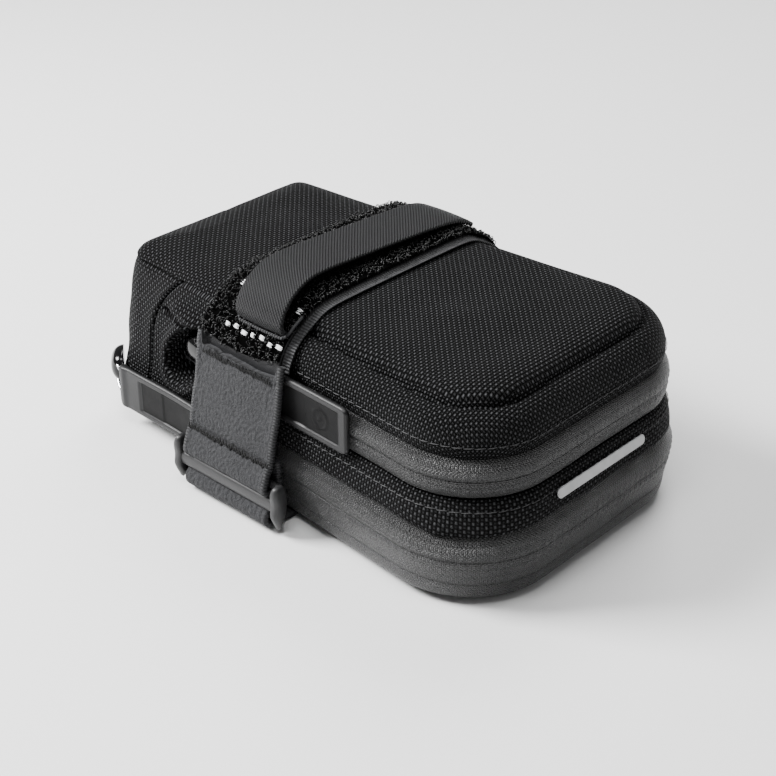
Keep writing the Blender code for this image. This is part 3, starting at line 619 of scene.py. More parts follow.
def lid_skin():
    s = np.linspace(0, PERIMETER, 760, endpoint=False)
    off, z, flat = lid_surface(s)
    x, y, nx, ny = [a[:, None] for a in at(s)]
    soft = noise(s[:, None], z, 16.0, 3) * 0.30 + noise(s[:, None], z * 2, 6.0, 4) * 0.10
    fade = ease((z - Z_RIM) / 5) * ease((Z_TOP - z) / 2)
    off = off + soft * fade * (0.5 + 0.9 * ease((10 - x) / 30)) - 0.5 * strap_squeeze(x) * fade
    outer = np.maximum(off, LID_KNEE)
    foot = np.stack([x + nx * outer, y + ny * outer], -1)
    target = np.stack([np.clip(foot[..., 0], *SPINE), np.zeros(off.shape)], -1)
    way = target - foot
    way /= np.linalg.norm(way, axis=-1)[..., None]
    plan = foot + way * (outer - off)[..., None]
    wall = np.concatenate([plan, z[..., None]], -1)
    at_knee = np.min(np.where(off < LID_KNEE, flat, 1e9), axis=1)[:, None]
    arc = np.maximum(at_knee - flat, 0.0)
    knee = np.stack([x + nx * LID_KNEE, y + ny * LID_KNEE], -1)
    side = knee + np.stack([nx * arc, ny * arc], -1)
    cloth = np.where((off < LID_KNEE)[..., None], plan, side)

    def crown(px, py):
        edge = np.minimum(1.0, np.abs(py) / 28.0)
        lift = 0.5 * (1 - edge**2) * (1 - 1.1 * strap_squeeze(px))
        waves = noise(px, py, 24.0, 5) * 0.32 + noise(px, py, 9.0, 6) * 0.08
        start = np.interp(px, [-60, -20, 6, 60], [52.6, 52.6, 52.8, 52.8])
        return start + (lift + waves) * (1 - edge**3)

    inner = rings_to_spine(wall[:, -1], 34, crown)
    stock = Stock()
    points = np.concatenate([wall, inner], 1)
    cloth = np.concatenate([cloth, inner[..., :2]], 1)
    stock.grid(points, cloth, wrap_u=True)
    lid = stock.piece("lid_skin", WEAVE, LINING, thick=1.5, weld=True)
    fit(lid, with_lid, ["lid_front", "lid_rear"])


def surface_at(s, z, rim):
    """Point and outward normal on a wall given by a profile, at heights z."""
    off, height, _ = profile(rim, 200)
    order = np.argsort(height)
    here = np.interp(z, height[order], off[order])
    slope = (np.interp(z + 0.4, height[order], off[order]) - here) / 0.4
    nx, ny = at(s)[2:]
    normal = np.stack(np.broadcast_arrays(nx, ny, -slope), -1)
    return place(s, here, z), normal / np.linalg.norm(normal, axis=-1)[..., None]


def row_of_stitches(name, z, rim, ride, extra):
    """A line of topstitching along a wall, from behind the strap to behind the strap."""
    pitch, length, radius, slant = 2.6, 2.3, 0.12, 0.2
    s0 = s_of(STRAP_X1 + 1.0)
    count = int((PERIMETER - 2 * s0) / pitch)
    centre = s0 + (np.arange(count) + 0.5) * pitch
    first, normal = surface_at(centre - length / 2, z - slant / 2, rim)
    second, _ = surface_at(centre + length / 2, z + slant / 2, rim)
    stock = Stock()
    stock.threads(first + normal * extra, second + normal * extra, normal, radius)
    ride(stock.piece(name, THREAD))


# ---------------------------------------------------------------- zips
def band_skin(name, s, rim, rows, ride, nodes, paint, change, thick=1.1, heights=None):
    """A strip of wall along stations s, with its profile, the change to its offset and, if given,
    the change to its height."""
    off, z, flat = profile(rim, rows)
    z = np.broadcast_to(z[None], (len(s), rows))
    x = at(s)[0][:, None]
    off = off[None] + change(s[:, None], z, x)
    if heights is not None:
        z = heights(z, x)
    stock = Stock()
    stock.grid(place(s[:, None], off, z), np.stack(np.broadcast_arrays(s[:, None], flat[None]), -1))
    piece = stock.piece(name, paint, LINING, thick=thick)
    fit(piece, ride, nodes)
    return piece


def sewn_edge(distance):
    """The roll of cloth beside a seam and the groove at it."""
    return 0.25 * bell(distance, 1.6, 1.2) - 0.9 * bell(distance, 0.0, 0.4)


def gathers(s, z, height, width):
    """Puckers where the band of weave is sewn to the tape."""
    return bell(z, height, width) * noise(s, z, 5.0, 12) * 0.30


def corner_dip(x):
    """Where the seam under the body band dips round the rear corners, 0 to 1."""
    return bell(x, 57.0, 9.0)


COIL_PITCH = 2.2


def coil_print(zip_z, side):
    """Bumps of the coil pressing through the tape, in a row beside the meeting line."""

    def change(s, z, x):
        line = bell(z, zip_z + side * 1.15, 0.62)
        beads = 0.5 + 0.5 * np.cos(2 * math.pi * s / COIL_PITCH + side)
        second = bell(z, zip_z + side * 2.6, 0.5) * (0.5 + 0.5 * np.cos(2 * math.pi * s / COIL_PITCH))
        worn = 0.75 + 0.25 * noise(s, z, 11.0, 7)
        waves = noise(s, z, 13.0, 8) * 0.16 + noise(s, z, 4.0, 9) * 0.05
        return line * (0.10 + 0.22 * beads) * worn + second * 0.12 + waves

    return change


UPPER_LOW = [
    (-0.9, Z_UPPER - 0.1), (-0.1, Z_UPPER + 0.15), (0.75, Z_UPPER + 0.9), (1.2, 30.6),
    (UPPER_SWELL + 0.05, 32.2), (UPPER_SWELL, Z_UPPER_ZIP - 0.25),
    (UPPER_SWELL - 0.05, Z_UPPER_ZIP - 0.012),
]
UPPER_HIGH = [
    (UPPER_SWELL - 0.05, Z_UPPER_ZIP + 0.012), (UPPER_SWELL, Z_UPPER_ZIP + 0.25),
    (UPPER_SWELL + 0.2, 34.3), (1.45, 35.6), (0.95, 36.8), (0.2, 37.7), (-0.55, Z_RIM - 0.12),
    (-1.0, Z_RIM + 0.05),
]
LOWER_LOW = [
    (2.6, Z_BASE + 0.012), (2.68, Z_BASE + 0.25), (3.1, 8.6), (3.5, 11.2), (LOWER_SWELL, 12.4),
    (LOWER_SWELL, Z_LOWER_ZIP - 0.25), (LOWER_SWELL - 0.05, Z_LOWER_ZIP - 0.012),
]
LOWER_HIGH = [
    (LOWER_SWELL - 0.05, Z_LOWER_ZIP + 0.012), (LOWER_SWELL, Z_LOWER_ZIP + 0.25),
    (LOWER_SWELL + 0.25, 14.2), (LOWER_SWELL + 0.3, 15.6), (3.6, 17.0), (2.9, 18.3),
    (1.9, Z_LOWER - 0.45), (1.1, Z_LOWER + 0.05),
]
S_ZIP = s_of(STRAP_X0 - 5.5)
S_CORNER = s_of(X_FRONT + R_FRONT) - 11.0


def stations(s0, s1, step):
    return np.linspace(s0, s1, int((s1 - s0) / step) + 1)


def zips():
    step = 0.36
    upper = stations(S_ZIP, PERIMETER - S_ZIP, step)
    lower = stations(S_CORNER, PERIMETER - S_CORNER, step)

    def gathered(s, z, x):
        return coil_print(Z_LOWER_ZIP, 1)(s, z, x) + gathers(s, z, Z_LOWER - 0.8, 1.6)

    def squashed(z, x):
        """The tape narrows toward its front end and round the rear corners."""
        share = 0.38 + 0.62 * ease((x + 31) / 6) - 0.19 * corner_dip(x)
        return Z_LOWER_ZIP + (z - Z_LOWER_ZIP) * share

    tapes = (
        ("upper", "body", UPPER_LOW, with_bag, coil_print(Z_UPPER_ZIP, -1), None),
        ("upper", "lid", UPPER_HIGH, with_lid, coil_print(Z_UPPER_ZIP, 1), None),
        ("lower", "body", LOWER_HIGH, with_bag, gathered, squashed),
        ("lower", "base", LOWER_LOW, with_base, coil_print(Z_LOWER_ZIP, -1), None),
    )
    for zip_name, side, rim, ride, change, heights in tapes:
        span, rows = (upper, 26) if zip_name == "upper" else (lower, 30)
        nodes = [f"{zip_name}_tape_{side}"]
        if side != "body":
            nodes += [f"{zip_name}_tape_front_left", f"{zip_name}_tape_front_right"]
        band_skin(f"{zip_name}_zip_tape_{side}", span, rim, rows, ride, nodes, COATED,
                  change, heights=heights)
    for zip_name, side, zip_z, way, swell, span, ride in (
        ("upper", "body", Z_UPPER_ZIP, -1, UPPER_SWELL, upper, with_bag),
        ("upper", "lid", Z_UPPER_ZIP, 1, UPPER_SWELL, upper, with_lid),
        ("lower", "body", Z_LOWER_ZIP, 1, LOWER_SWELL, lower, with_bag),
        ("lower", "base", Z_LOWER_ZIP, -1, LOWER_SWELL, lower, with_base),
    ):
        coil = wound_coil(zip_z, way, swell - 2.0, span)
        teeth = coil.piece(f"{zip_name}_teeth_{side}", COIL)
        fit(teeth, ride, [f"{zip_name}_coil_{side}"])


def wound_coil(zip_z, side, off, span):
    """Half a zip's coil: one nylon filament wound in flat loops along the tape."""
    pitch, filament = 1.35, 0.26
    loops = int((span[-1] - span[0]) / pitch)
    turn = np.linspace(0, loops, loops * 10 + 1)
    angle = 2 * math.pi * turn
    z = zip_z + side * (1.05 - 0.95 * np.cos(angle))
    stock = Stock()
    stock.tube(place(span[0] + turn * pitch, off + 0.55 * np.sin(angle), z), filament, sides=5)
    return stock


# ---------------------------------------------------------------- walls
BAND_RIM = [
    (1.7, Z_LOWER - 0.1), (2.5, Z_LOWER + 0.35), (2.7, 21.6), (2.2, 24.2), (1.5, 26.6),
    (0.9, Z_UPPER - 0.5), (0.1, Z_UPPER + 0.1),
]


def body_band():
    s0 = s_of(-27.0)
    s = stations(s0, PERIMETER - s0, 0.7)

    def change(s, z, x):
        mid = ease((z - Z_LOWER) / 2.5) * ease((Z_UPPER - z) / 2.5)
        soft = noise(s, z, 14.0, 21) * 0.30 + noise(s, z, 5.0, 22) * 0.10
        return soft * mid + gathers(s, z, Z_LOWER + 0.8, 1.4)

    band = band_skin("body_band_skin", s, BAND_RIM, 22, with_bag,
                     ["body_band"], WEAVE, change, 1.4,
                     lambda z, x: z - 1.3 * corner_dip(x) * ((Z_UPPER - z) / 8.6) ** 2)


def seam_x(z):
    """Where the seam between the front wrap and the side runs."""
    return -51.5 + 11.0 * np.clip((z - 29.0) / (Z_TOP_SEAM - 29.0), 0, 1) ** 2.0


def top_groove(z):
    """The groove that the top seam draws in the wall."""
    return 1.3 * bell(z, Z_TOP_SEAM + 0.1, 0.8)


Z_SKIRT = 15.4
WALL_LINE = [
    (3.4, Z_SKIRT - 0.1), (3.1, 17.2), (2.6, 19.2), (2.1, 22.0), (1.7, 25.0), (1.2, 29.0),
    (0.6, 34.0), (0.0, 39.0), (-0.8, 43.5), (-2.0, Z_TOP_SEAM),
]


def wall_offset(z):
    off, height, _ = profile(WALL_LINE, 120)
    return np.interp(z, height, off)


def front_panel():
    rows = 54
    z = np.linspace(Z_SKIRT, Z_TOP_SEAM + 0.1, rows)
    edge = s_of(seam_x(z))
    t = np.linspace(-1, 1, 200)[:, None]
    s = t * edge[None]
    distance = edge[None] - np.abs(s)
    zz = np.broadcast_to(z[None], s.shape)
    nx = at(s)[2]
    off = wall_offset(zz)
    belly = ease((zz - Z_LOWER) / 8) * ease((Z_TOP_SEAM - zz) / 9) * ease(distance / 8)
    off = off + 0.7 * ease((np.abs(nx) - 0.2) / 0.8) * belly
    off = off + noise(s, zz, 13.0, 31) * 0.4 * ease(distance / 4) + noise(s, zz, 5.0, 32) * 0.12
    off = off + sewn_edge(distance) - top_groove(zz)
    stock = Stock()
    stock.grid(place(s, off, zz), np.stack([s, zz], -1))
    apron_z = np.linspace(Z_BASE + 0.3, Z_LOWER + 0.2, 24)
    half = S_CORNER + 1.6
    s = np.linspace(-half, half, 80)[:, None]
    zz = np.broadcast_to(apron_z[None], (80, 24))
    off = np.interp(apron_z, [Z_BASE, 9.0, 14.0, 17.0, Z_LOWER + 0.2], [0.8, 2.0, 2.8, 2.6, 1.0])
    off = off[None] + noise(s, zz, 9.0, 33) * 0.25
    stock.grid(place(np.broadcast_to(s, zz.shape), off, zz), np.stack(np.broadcast_arrays(s, zz), -1))
    panel = stock.piece("front_panel_skin", WEAVE, LINING, thick=1.4)
    fit(panel, "bag", ["front_panel"])


HOLLOW_X = -36.0
HOLLOW_Z = 28.2
HOLLOW_RADIUS = 7.6
CREASE_Z = 37.6


def side_panels():
    """The soft side in front of the strap: an upper leaf, a crease and the hollow that the upper
    zip ends in."""
    rows = 120
    z = np.linspace(Z_SKIRT, Z_TOP_SEAM + 0.1, rows)
    t = np.linspace(0, 1, 150)[:, None]
    x = seam_x(z)[None] * (1 - t) + (-10.0) * t
    zz = np.broadcast_to(z[None], x.shape)
    from_seam = x - seam_x(zz)
    off = wall_offset(zz)
    dx = x - HOLLOW_X
    dz = zz - HOLLOW_Z
    hollow = (dx / HOLLOW_RADIUS) ** 2 + ((dz - 0.35 * dx) / HOLLOW_RADIUS) ** 2
    hole = 1 - ease((hollow - 0.55) / 0.65)
    lip = bell(np.sqrt(hollow), 1.22, 0.24)
    crease = CREASE_Z - 0.10 * (x + 47.0)
    behind_zip = ease((zz - Z_UPPER + 0.6) / 1.2) * ease((Z_RIM + 0.2 - zz) / 1.2)
    channel = ease((x + 37.0) / 3.0) * behind_zip
    mouth = 1.5 * lip * ease((-28.0 - x) / 6) - 10.0 * np.maximum(hole, 0.35 * channel)
    tuck = 3.5 * np.maximum(np.exp(-hollow), channel * ease((x + 31.5) / 2.0))
    off = off + mouth
    off = off + 1.6 * bell(zz, crease + 2.4, 2.4) * ease((from_seam - 1) / 6) * ease((-26 - x) / 6)
    off = off - 2.8 * bell(zz, crease, 0.75) * ease(from_seam / 4) * (1 - hole)
    off = off + sewn_edge(from_seam) - top_groove(zz)
    off = off + noise(x, zz, 8.0, 41) * 0.4 * ease(from_seam / 3)
    depth = np.maximum(wall_offset(zz) - off, 0.0)
    spread = depth / (np.hypot(dx, dz) + 0.5)
    for tag, side in (("left", -1), ("right", 1)):
        s = s_of(x, side)
        stock = Stock()
        if side < 0:
            stock.grid(place(s, off, zz), np.stack([x - spread * dx, zz - spread * dz], -1))
        else:
            stock.grid(place(s, off - mouth - tuck, zz), np.stack([x, zz], -1), flip=True)
        panel = stock.piece("side_panel_" + tag, WEAVE, LINING, thick=1.0)
        fit(panel, "bag", ["gusset_" + tag])


BASE_FLAT = -8.0
BASE_RIM = [
    (2.6, Z_BASE - 0.012), (2.62, Z_BASE - 0.25), (2.55, 4.7), (2.2, 2.7), (1.0, 1.45), (-1.0, 0.6),
    (-4.0, 0.12), (BASE_FLAT, 0.02),
]


def base_skin():
    s = np.linspace(0, PERIMETER, 420, endpoint=False)
    off, z, flat = profile(BASE_RIM, 30)
    rim = place(s[:, None], off[None], z[None])
    cloth = place(s[:, None], (BASE_FLAT + flat[-1] - flat)[None], 0.0)[..., :2]
    inner = rings_to_spine(rim[:, -1], 12, lambda a, b: 0.02)
    points = np.concatenate([rim, inner], 1)
    x = points[..., 0]
    press = ease((x - STRAP_X0 + 2.2) / 1.6) * ease((STRAP_X1 + 2.2 - x) / 1.6)
    points[..., 2] = np.maximum(points[..., 2], press * 2.2)
    stock = Stock()
    stock.grid(points, np.concatenate([cloth, inner[..., :2]], 1), wrap_u=True, flip=True)
    base = stock.piece("base_skin", BASE_FABRIC, LINING, thick=2.0, weld=True)
    fit(base, with_base, ["base_front", "base_rear"])


def divider():
    """The floor between the compartments, bound round its edge."""
    z = (low("divider")[2] + high("divider")[2]) / 2
    s = np.linspace(0, PERIMETER, 240, endpoint=False)
    rim = place(s, -DIVIDER_INSET - 0.4, z)

    def sagging(a, b):
        return z - 0.5 * (1 - (np.abs(b) / 42) ** 2) + noise(a, b, 20.0, 51) * 0.25

    sag = rings_to_spine(rim, 16, sagging)
    points = np.concatenate([rim[:, None], sag], 1)
    stock = Stock()
    stock.grid(points, points[..., :2], wrap_u=True)
    stock.tube(rim, 0.75, 6, slot=2, closed=True)
    panel = stock.piece("divider_panel", LINING, LINING, RIBS, weld=True)
    fit(panel, "bag", ["divider"])


# ---------------------------------------------------------------- straps
SHOULDER = [
    (40.5, 40.9), (40.1, 42.6), (39.2, 44.5), (37.6, 46.9), (34.8, 49.3), (31.4, 51.2),
    (28.6, 52.6), (25.3, 53.4), (20.5, 53.7), (10.0, 53.8),
]
OVER = [(-y, z) for y, z in SHOULDER] + SHOULDER[::-1] + [(41.0, 36.2)]


def band_frame(line, count):
    """Even points along a line in the YZ plane, the outward normal there, and the distance."""
    points, along = resample(spline(line) if isinstance(line, list) else line, count)
    way = np.gradient(points, axis=0)
    way /= np.linalg.norm(way, axis=1)[:, None]
    return points, np.stack([-way[:, 1], way[:, 0]], 1), along


def strap_solid(stock, line, xs, top, bottom, count=None, start=None, drift=None):
    """A flat strap: xs are places across it, top and bottom the height of its faces there.
    start, if given, is how far along the line the strap begins at each x; drift moves it
    sideways as it goes."""
    length = lengths(spline(line) if isinstance(line, list) else line)[-1]
    count = count or int(length / 0.8)
    points, normal, along = band_frame(line, count)
    xs = np.asarray(xs, float)
    at_x = np.broadcast_to(along[:, None], (count, len(xs))).copy()
    if start is not None:
        begin = start(xs)[None]
        at_x = begin + (along[-1] - begin) * (along / along[-1])[:, None]
    mid = [np.interp(at_x, along, points[:, k]) for k in (0, 1)]
    out = [np.interp(at_x, along, normal[:, k]) for k in (0, 1)]

    def face(height):
        height = np.broadcast_to(height, (count, len(xs)))
        place_x = np.broadcast_to(xs[None] + (0.0 if drift is None else drift(at_x)), at_x.shape)
        return np.stack([place_x, mid[0] + out[0] * height, mid[1] + out[1] * height], -1)

    upper = face(top)
    lower = face(bottom)[:, ::-1]
    points = np.concatenate([upper, lower], 1)
    cloth = np.stack([at_x, np.broadcast_to(xs[None], at_x.shape)], -1)
    cloth = np.concatenate([cloth, cloth[:, ::-1]], 1)
    stock.grid(points, cloth, wrap_v=True, flip=True)
    n = len(xs)
    first = stock.count - count * 2 * n
    for row, turned in ((first, True), (first + (count - 1) * 2 * n, False)):
        cap = [[row + k, row + k + 1, row + 2 * n - 2 - k, row + 2 * n - 1 - k] for k in range(n - 1)]
        stock.cap(np.array(cap) if turned else np.array(cap)[:, ::-1])


def across(x0, x1, count):
    """Places across a strap, closer together at its rounded edges."""
    t = np.linspace(-1, 1, count)
    t = np.sign(t) * (1 - (1 - np.abs(t)) ** 1.35)
    return (x0 + x1) / 2 + t * (x1 - x0) / 2


def round_edge(xs, x0, x1, half, round_over=0.5):
    d = np.minimum(xs - x0, x1 - xs)
    return half * np.sqrt(np.clip(1 - (1 - np.clip(d / round_over, 0, 1)) ** 2, 0.05, 1))


def round_bar(z, start, end):
    turn = BAR_HALF * 1.42 + 0.32 + STRAP_THICK / 2
    angle = np.radians(np.linspace(start, end, 15))
    return np.stack([BUCKLE_Y + turn * np.cos(angle), z + turn * np.sin(angle)], 1)


def strap_top():
    xs = across(STRAP_X0, STRAP_X1, 40)
    half = round_edge(xs, STRAP_X0, STRAP_X1, STRAP_THICK / 2)
    flat_edge = 0.85 * ease((xs - (STRAP_X1 - SELVEDGE)) / 0.35)
    stock = Stock()
    strap_solid(stock, OVER, xs, np.maximum(half - flat_edge, 0.25 - half)[None], -half[None])
    web = stock.piece("strap_web", STRAP_CLOTH, RIBS)
    second_material(web, lambda corners: corners[:, 1].mean() > STRAP_X1 - SELVEDGE + 0.1)
    fit(web, "bag", ["strap_top"])
    length = lengths(spline(OVER))[-1]


PILE_LOW = 41.4
PILE_END = 38.5
LOOPS_PER_SQUARE_MM = 1.9


def pile():
    """Hook-and-loop face: a felted bed and a few thousand small loops standing on it."""
    line = spline(OVER)
    line = line[(line[:, 0] < PILE_END) & (line[:, 1] > PILE_LOW)]
    x0 = STRAP_X0 - 0.1
    x1 = STRAP_X1 - SELVEDGE
    xs = across(x0, x1, 30)
    mid = (x0 + x1) / 2

    def start(x):
        """The lower end is cut in an arc."""
        return 1.7 * (1 - np.clip(1 - ((x - mid) / (x1 - x0) * 2) ** 2, 0, 1))

    half = round_edge(xs, x0, x1, 0.35, 0.9)
    stock = Stock()
    lift = STRAP_THICK / 2 + 0.36
    strap_solid(stock, line, xs, (lift + half)[None], (lift - half)[None], start=start)
    bed = stock.piece("strap_pile_bed", PILE_BED)
    fit(bed, "bag", ["strap_pile"])
    points, normal, along = band_frame(line, 400)
    rng = np.random.default_rng(11)
    area = along[-1] * (x1 - x0)
    count = int(area * LOOPS_PER_SQUARE_MM)
    a = rng.uniform(0, along[-1], count)
    x = rng.uniform(x0 - 0.25, x1 + 0.2, count)
    keep = a > start(x) - 0.2
    a, x = a[keep], x[keep]
    count = len(a)
    spin = rng.uniform(0, math.pi, count)
    wide = rng.uniform(0.28, 0.62, count)
    tall = rng.uniform(0.55, 1.25, count) * np.where(np.minimum(x - x0, x1 - x) < 0.8, 0.75, 1.0)
    lean = rng.uniform(-0.5, 0.5, (count, 2))
    t = np.linspace(0, math.pi, 7)
    side = np.cos(t)[None] * wide[:, None]
    up = np.sin(t)[None] ** 0.8 * tall[:, None]
    px = x[:, None] + side * np.cos(spin)[:, None] + lean[:, :1] * up
    pa = np.clip(a[:, None] + side * np.sin(spin)[:, None] + lean[:, 1:] * up, 0, along[-1])
    cy, cz = [np.interp(pa, along, points[:, k]) for k in (0, 1)]
    ny, nz = [np.interp(pa, along, normal[:, k]) for k in (0, 1)]
    high_up = lift + 0.15 + up
    core = np.stack([px, cy + ny * high_up, cz + nz * high_up], -1)
    way = np.gradient(core, axis=1)
    way /= np.linalg.norm(way, axis=2)[..., None]
    guide = np.stack([-np.sin(spin), np.cos(spin) * 0.7, np.cos(spin) * 0.7], 1)[:, None]
    one = np.cross(way, guide)
    one /= np.linalg.norm(one, axis=2)[..., None] + 1e-9
    two = np.cross(way, one)
    fat = rng.uniform(0.085, 0.13, count)[:, None, None]
    angle = np.radians([90.0, 210.0, 330.0])
    ring = np.stack([core + (one * math.cos(k) + two * math.sin(k)) * fat for k in angle], 2)
    stock = Stock()
    stock.add(ring, ring, many_tubes(count, 7, 3))
    loops = stock.piece("strap_pile_loops", PILE)
    fit(loops, "bag", [])


SIDE_LINE = [
    (-41.75, 43.2), (-42.25, 41.6), (-42.7, 39.0), (-43.2, 35.0), (-44.0, 30.0), (-45.1, 26.0),
    (-46.0, 22.0), (-46.7, 18.5), (-48.0, 15.6),
]
Z_FLAP = 17.9
Z_HEM = 39.9
PANEL_HALF = 13.9


def zigzag(stock, x0, x1, spot, pitch, swing, radius, seed):
    """A rough zigzag of thread across a strap. spot(x, d) is a point d along it from the row."""
    count = int((x1 - x0) / pitch) * 2
    x = np.linspace(x0, x1, count + 1)
    rng = np.random.default_rng(seed)
    d = np.where(np.arange(count + 1) % 2 == 0, -swing, swing) + rng.uniform(-0.45, 0.45, count + 1)
    spots = np.array([spot(a, b) for a, b in zip(x, d)])
    stock.threads(spots[:-1, 0], spots[1:, 0], spots[:-1, 1], radius)


def strap_side():
    tail = spline([(-44.4, 15.0), (-44.5, 16.8), (-44.6, 18.6)], 6)
    line = np.vstack([spline(SIDE_LINE), round_bar(BAR_HIGH, 165, 380), tail])
    line = spline(line[::3], 4)
    points, normal, along = band_frame(line, 300)
    outer = points[:, 0] < -45.6
    cut = along[np.argmin(np.abs(points[:, 1] - Z_FLAP) + np.where(outer, 0, 99))]
    hem = along[np.argmin(np.abs(points[:, 1] - Z_HEM))]
    xs = across(STRAP_X0, STRAP_X1, 44)
    half = round_edge(xs, STRAP_X0, STRAP_X1, STRAP_THICK / 2)
    count = 170
    away = np.minimum(xs - STRAP_X0, STRAP_X1 - xs)

    def start(x):
        """The hem lies lower than the two selvedges."""
        inside = np.minimum(x - STRAP_X0, STRAP_X1 - x)
        return hem * ease((inside - 1.7) / 0.5) + 0.35 * noise(x, 0 * x, 2.2, 63)

    a = start(xs)[None] + (along[-1] - start(xs)[None]) * np.linspace(0, 1, count)[:, None]
    bulge = 0.4 * np.sin(np.pi * np.clip(a / cut, 0, 1)) * (1 - ((xs[None] - STRAP_MID) / 16) ** 2)
    soft = noise(a, xs[None], 7.0, 61) * 0.16 + noise(a, xs[None], 2.6, 62) * 0.05
    edge = 0.16 * ease((np.abs(xs[None] - STRAP_MID) - 13.2) / 0.3)
    dip = -0.3 * bell(a, cut, 0.7) - 0.25 * bell(a, hem + 1.1, 0.6)
    step = 0.35 * ease((a - cut) / 0.5) * ease((along[-1] - a) / 30.0)
    face = half[None] + bulge + soft * ease(away[None] / 2) + edge + dip + step
    stock = Stock()
    strap_solid(stock, line, xs, half[None], -face, count=count, start=start)
    panel = stock.piece("strap_panel", SUEDE, RIBS)
    second_material(panel, lambda corners: abs(corners[:, 1].mean() - STRAP_MID) > PANEL_HALF)
    fit(panel, "bag", ["strap_side"])

    def spot(x, d, base):
        here = np.clip(base + d, 0, along[-1])
        y, z, ny, nz = [np.interp(here, along, v) for v in (*points.T, *normal.T)]
        out = -np.array([0.0, ny, nz])
        return np.array([x, y, z]) + out * (STRAP_THICK / 2 + 0.3), out

    stitches = Stock()
    for k in range(2):
        zigzag(stitches, STRAP_X0 + 0.5, STRAP_X1 - 0.5, lambda x, d: spot(x, d, cut + 0.2 * k),
               1.15, 0.6, 0.2, 3 + k)
        zigzag(stitches, STRAP_X0 + 3.0, STRAP_X1 - 3.0, lambda x, d: spot(x, d, hem + 0.9 + 0.2 * k),
               1.05, 0.45, 0.18, 5 + k)
    seam = stitches.piece("strap_panel_seams", DARK_THREAD)
    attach(seam, "bag")


WINDOW = [(-41.5, 38.2), (-41.35, 40.4), (-40.95, 42.8), (-39.95, 45.0), (-38.3, 47.4), (-35.4, 50.0)]


def strap_window():
    """The smooth strip between the pile and the panel."""
    x0 = STRAP_X0 + 0.6
    x1 = STRAP_X1 - SELVEDGE + 0.2
    xs = across(x0, x1, 30)
    stock = Stock()
    strap_solid(stock, WINDOW, xs, round_edge(xs, x0, x1, 0.16)[None], -0.16, count=40)
    strip = stock.piece("strap_window", SATIN)
    fit(strip, "bag", [])
    lengths(spline(WINDOW))[-1] * M


UNDER = [
    (41.1, 35.3), (41.8, 30.0), (42.8, 22.0), (43.4, 14.0), (43.0, 6.6), (41.9, 2.9), (38.8, 1.0),
    *[(y, STRAP_THICK / 2) for y in (34.0, 20.0, 0.0, -20.0, -38.0)], (-44.0, 0.8),
]
LAP_LENGTH = 22.0


def strap_under():
    line = np.vstack([spline(UNDER), round_bar(BAR_LOW, 265, -12)])
    line = spline(line[::3], 4)
    xs = across(STRAP_X0, STRAP_X1, 36)
    half = round_edge(xs, STRAP_X0, STRAP_X1, STRAP_THICK / 2)
    length = lengths(line)[-1]
    count = 230
    a = np.linspace(0, length, count)[:, None]
    soft = noise(a, xs[None], 6.0, 66) * 0.12 * ease((a - (length - 30)) / 8)
    stock = Stock()
    strap_solid(stock, line, xs, half[None] + soft, -half[None], count=count)
    under = stock.piece("strap_under", STRAP_CLOTH, SUEDE)
    second_material(under, lambda corners: corners[0, 0] > length - LAP_LENGTH)
    fit(under, "bag", ["strap_bottom"])


def pile_spot(x, z, extra):
    """A point on the left face of the pile at a height."""
    line = spline(OVER)
    line = line[line[:, 0] < 0]
    points, normal, along = band_frame(line, 300)
    i = int(np.argmin(np.abs(points[:, 1] - z)))
    out = np.array([0.0, *normal[i]])
    lift = STRAP_THICK / 2 + 1.1 + extra
    return np.array([x, *points[i]]) + out * lift, out


def reflective_tacks():
    """Bright bar tacks that hold the strap's layers together."""
    rng = np.random.default_rng(8)
    rows = []

    def tack(x, z, long):
        for k in range(3):
            row_z = z + 0.26 * (k - 1.5)
            start, out = pile_spot(x - long / 2 + rng.uniform(-0.15, 0.15), row_z, 0.25)
            end = pile_spot(x + long / 2 + rng.uniform(-0.15, 0.15), row_z - 0.1, 0.25)[0]
            rows.append((start, end, out))

    for k in range(7):
        tack(-15.4 + 3.0 * k, 46.0 + 0.3 * math.sin(k * 2.1), rng.uniform(1.3, 2.1))
    tack(-18.7, 52.0, 1.6)
    tack(1.6, 51.5, 1.9)
    stock = Stock()
    stock.threads(*zip(*rows), 0.2)
    with_bag(stock.piece("reflective_tacks", WHITE_THREAD))


RAIL_LINE = [
    (-37.3, 48.9), (-38.6, 50.2), (-38.8, 52.2), (-36.9, 54.9), (-33.3, 57.0), (-27.5, 58.4),
    (-20.0, 58.8), (-8.0, 58.4), (6.0, 58.0), (19.0, 57.6), (26.5, 56.9), (30.6, 55.6),
    (33.2, 53.9),
]


RAIL_HALF = 8.0
RAIL_THICK = 1.24


def rail_webbing():
    band_line = spline(RAIL_LINE)
    length = lengths(band_line)[-1]

    def drift(a):
        """The band leaves the slot at a slant and straightens along the top."""
        t = a / length
        return -5.3 - 4.2 * ease(t / 0.3) + 1.8 * ease((t - 0.35) / 0.65)

    xs = across(-RAIL_HALF, RAIL_HALF, 26)
    half = round_edge(xs, -RAIL_HALF, RAIL_HALF, RAIL_THICK / 2, 0.4)
    cup = -0.25 * (xs / RAIL_HALF) ** 2
    stock = Stock()
    strap_solid(stock, band_line, xs, (half + cup)[None], (cup - half)[None], count=170, drift=drift)
    band = stock.piece("rail_band", TWILL)
    fit(band, "rail_strap", ["rail_webbing"])
    xs = across(-7.0, 7.0, 12)
    under = band_line[(band_line[:, 0] > -14) & (band_line[:, 0] < 32)]
    under_length = lengths(under)[-1]
    first = (length - under_length) * 0.55
    stock = Stock()
    strap_solid(stock, under, xs, -RAIL_THICK / 2, -1.1, count=60, drift=lambda a: drift(a + first))
    hooks = stock.piece("rail_band_hooks", PILE_BED)
    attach(hooks, "rail_strap")


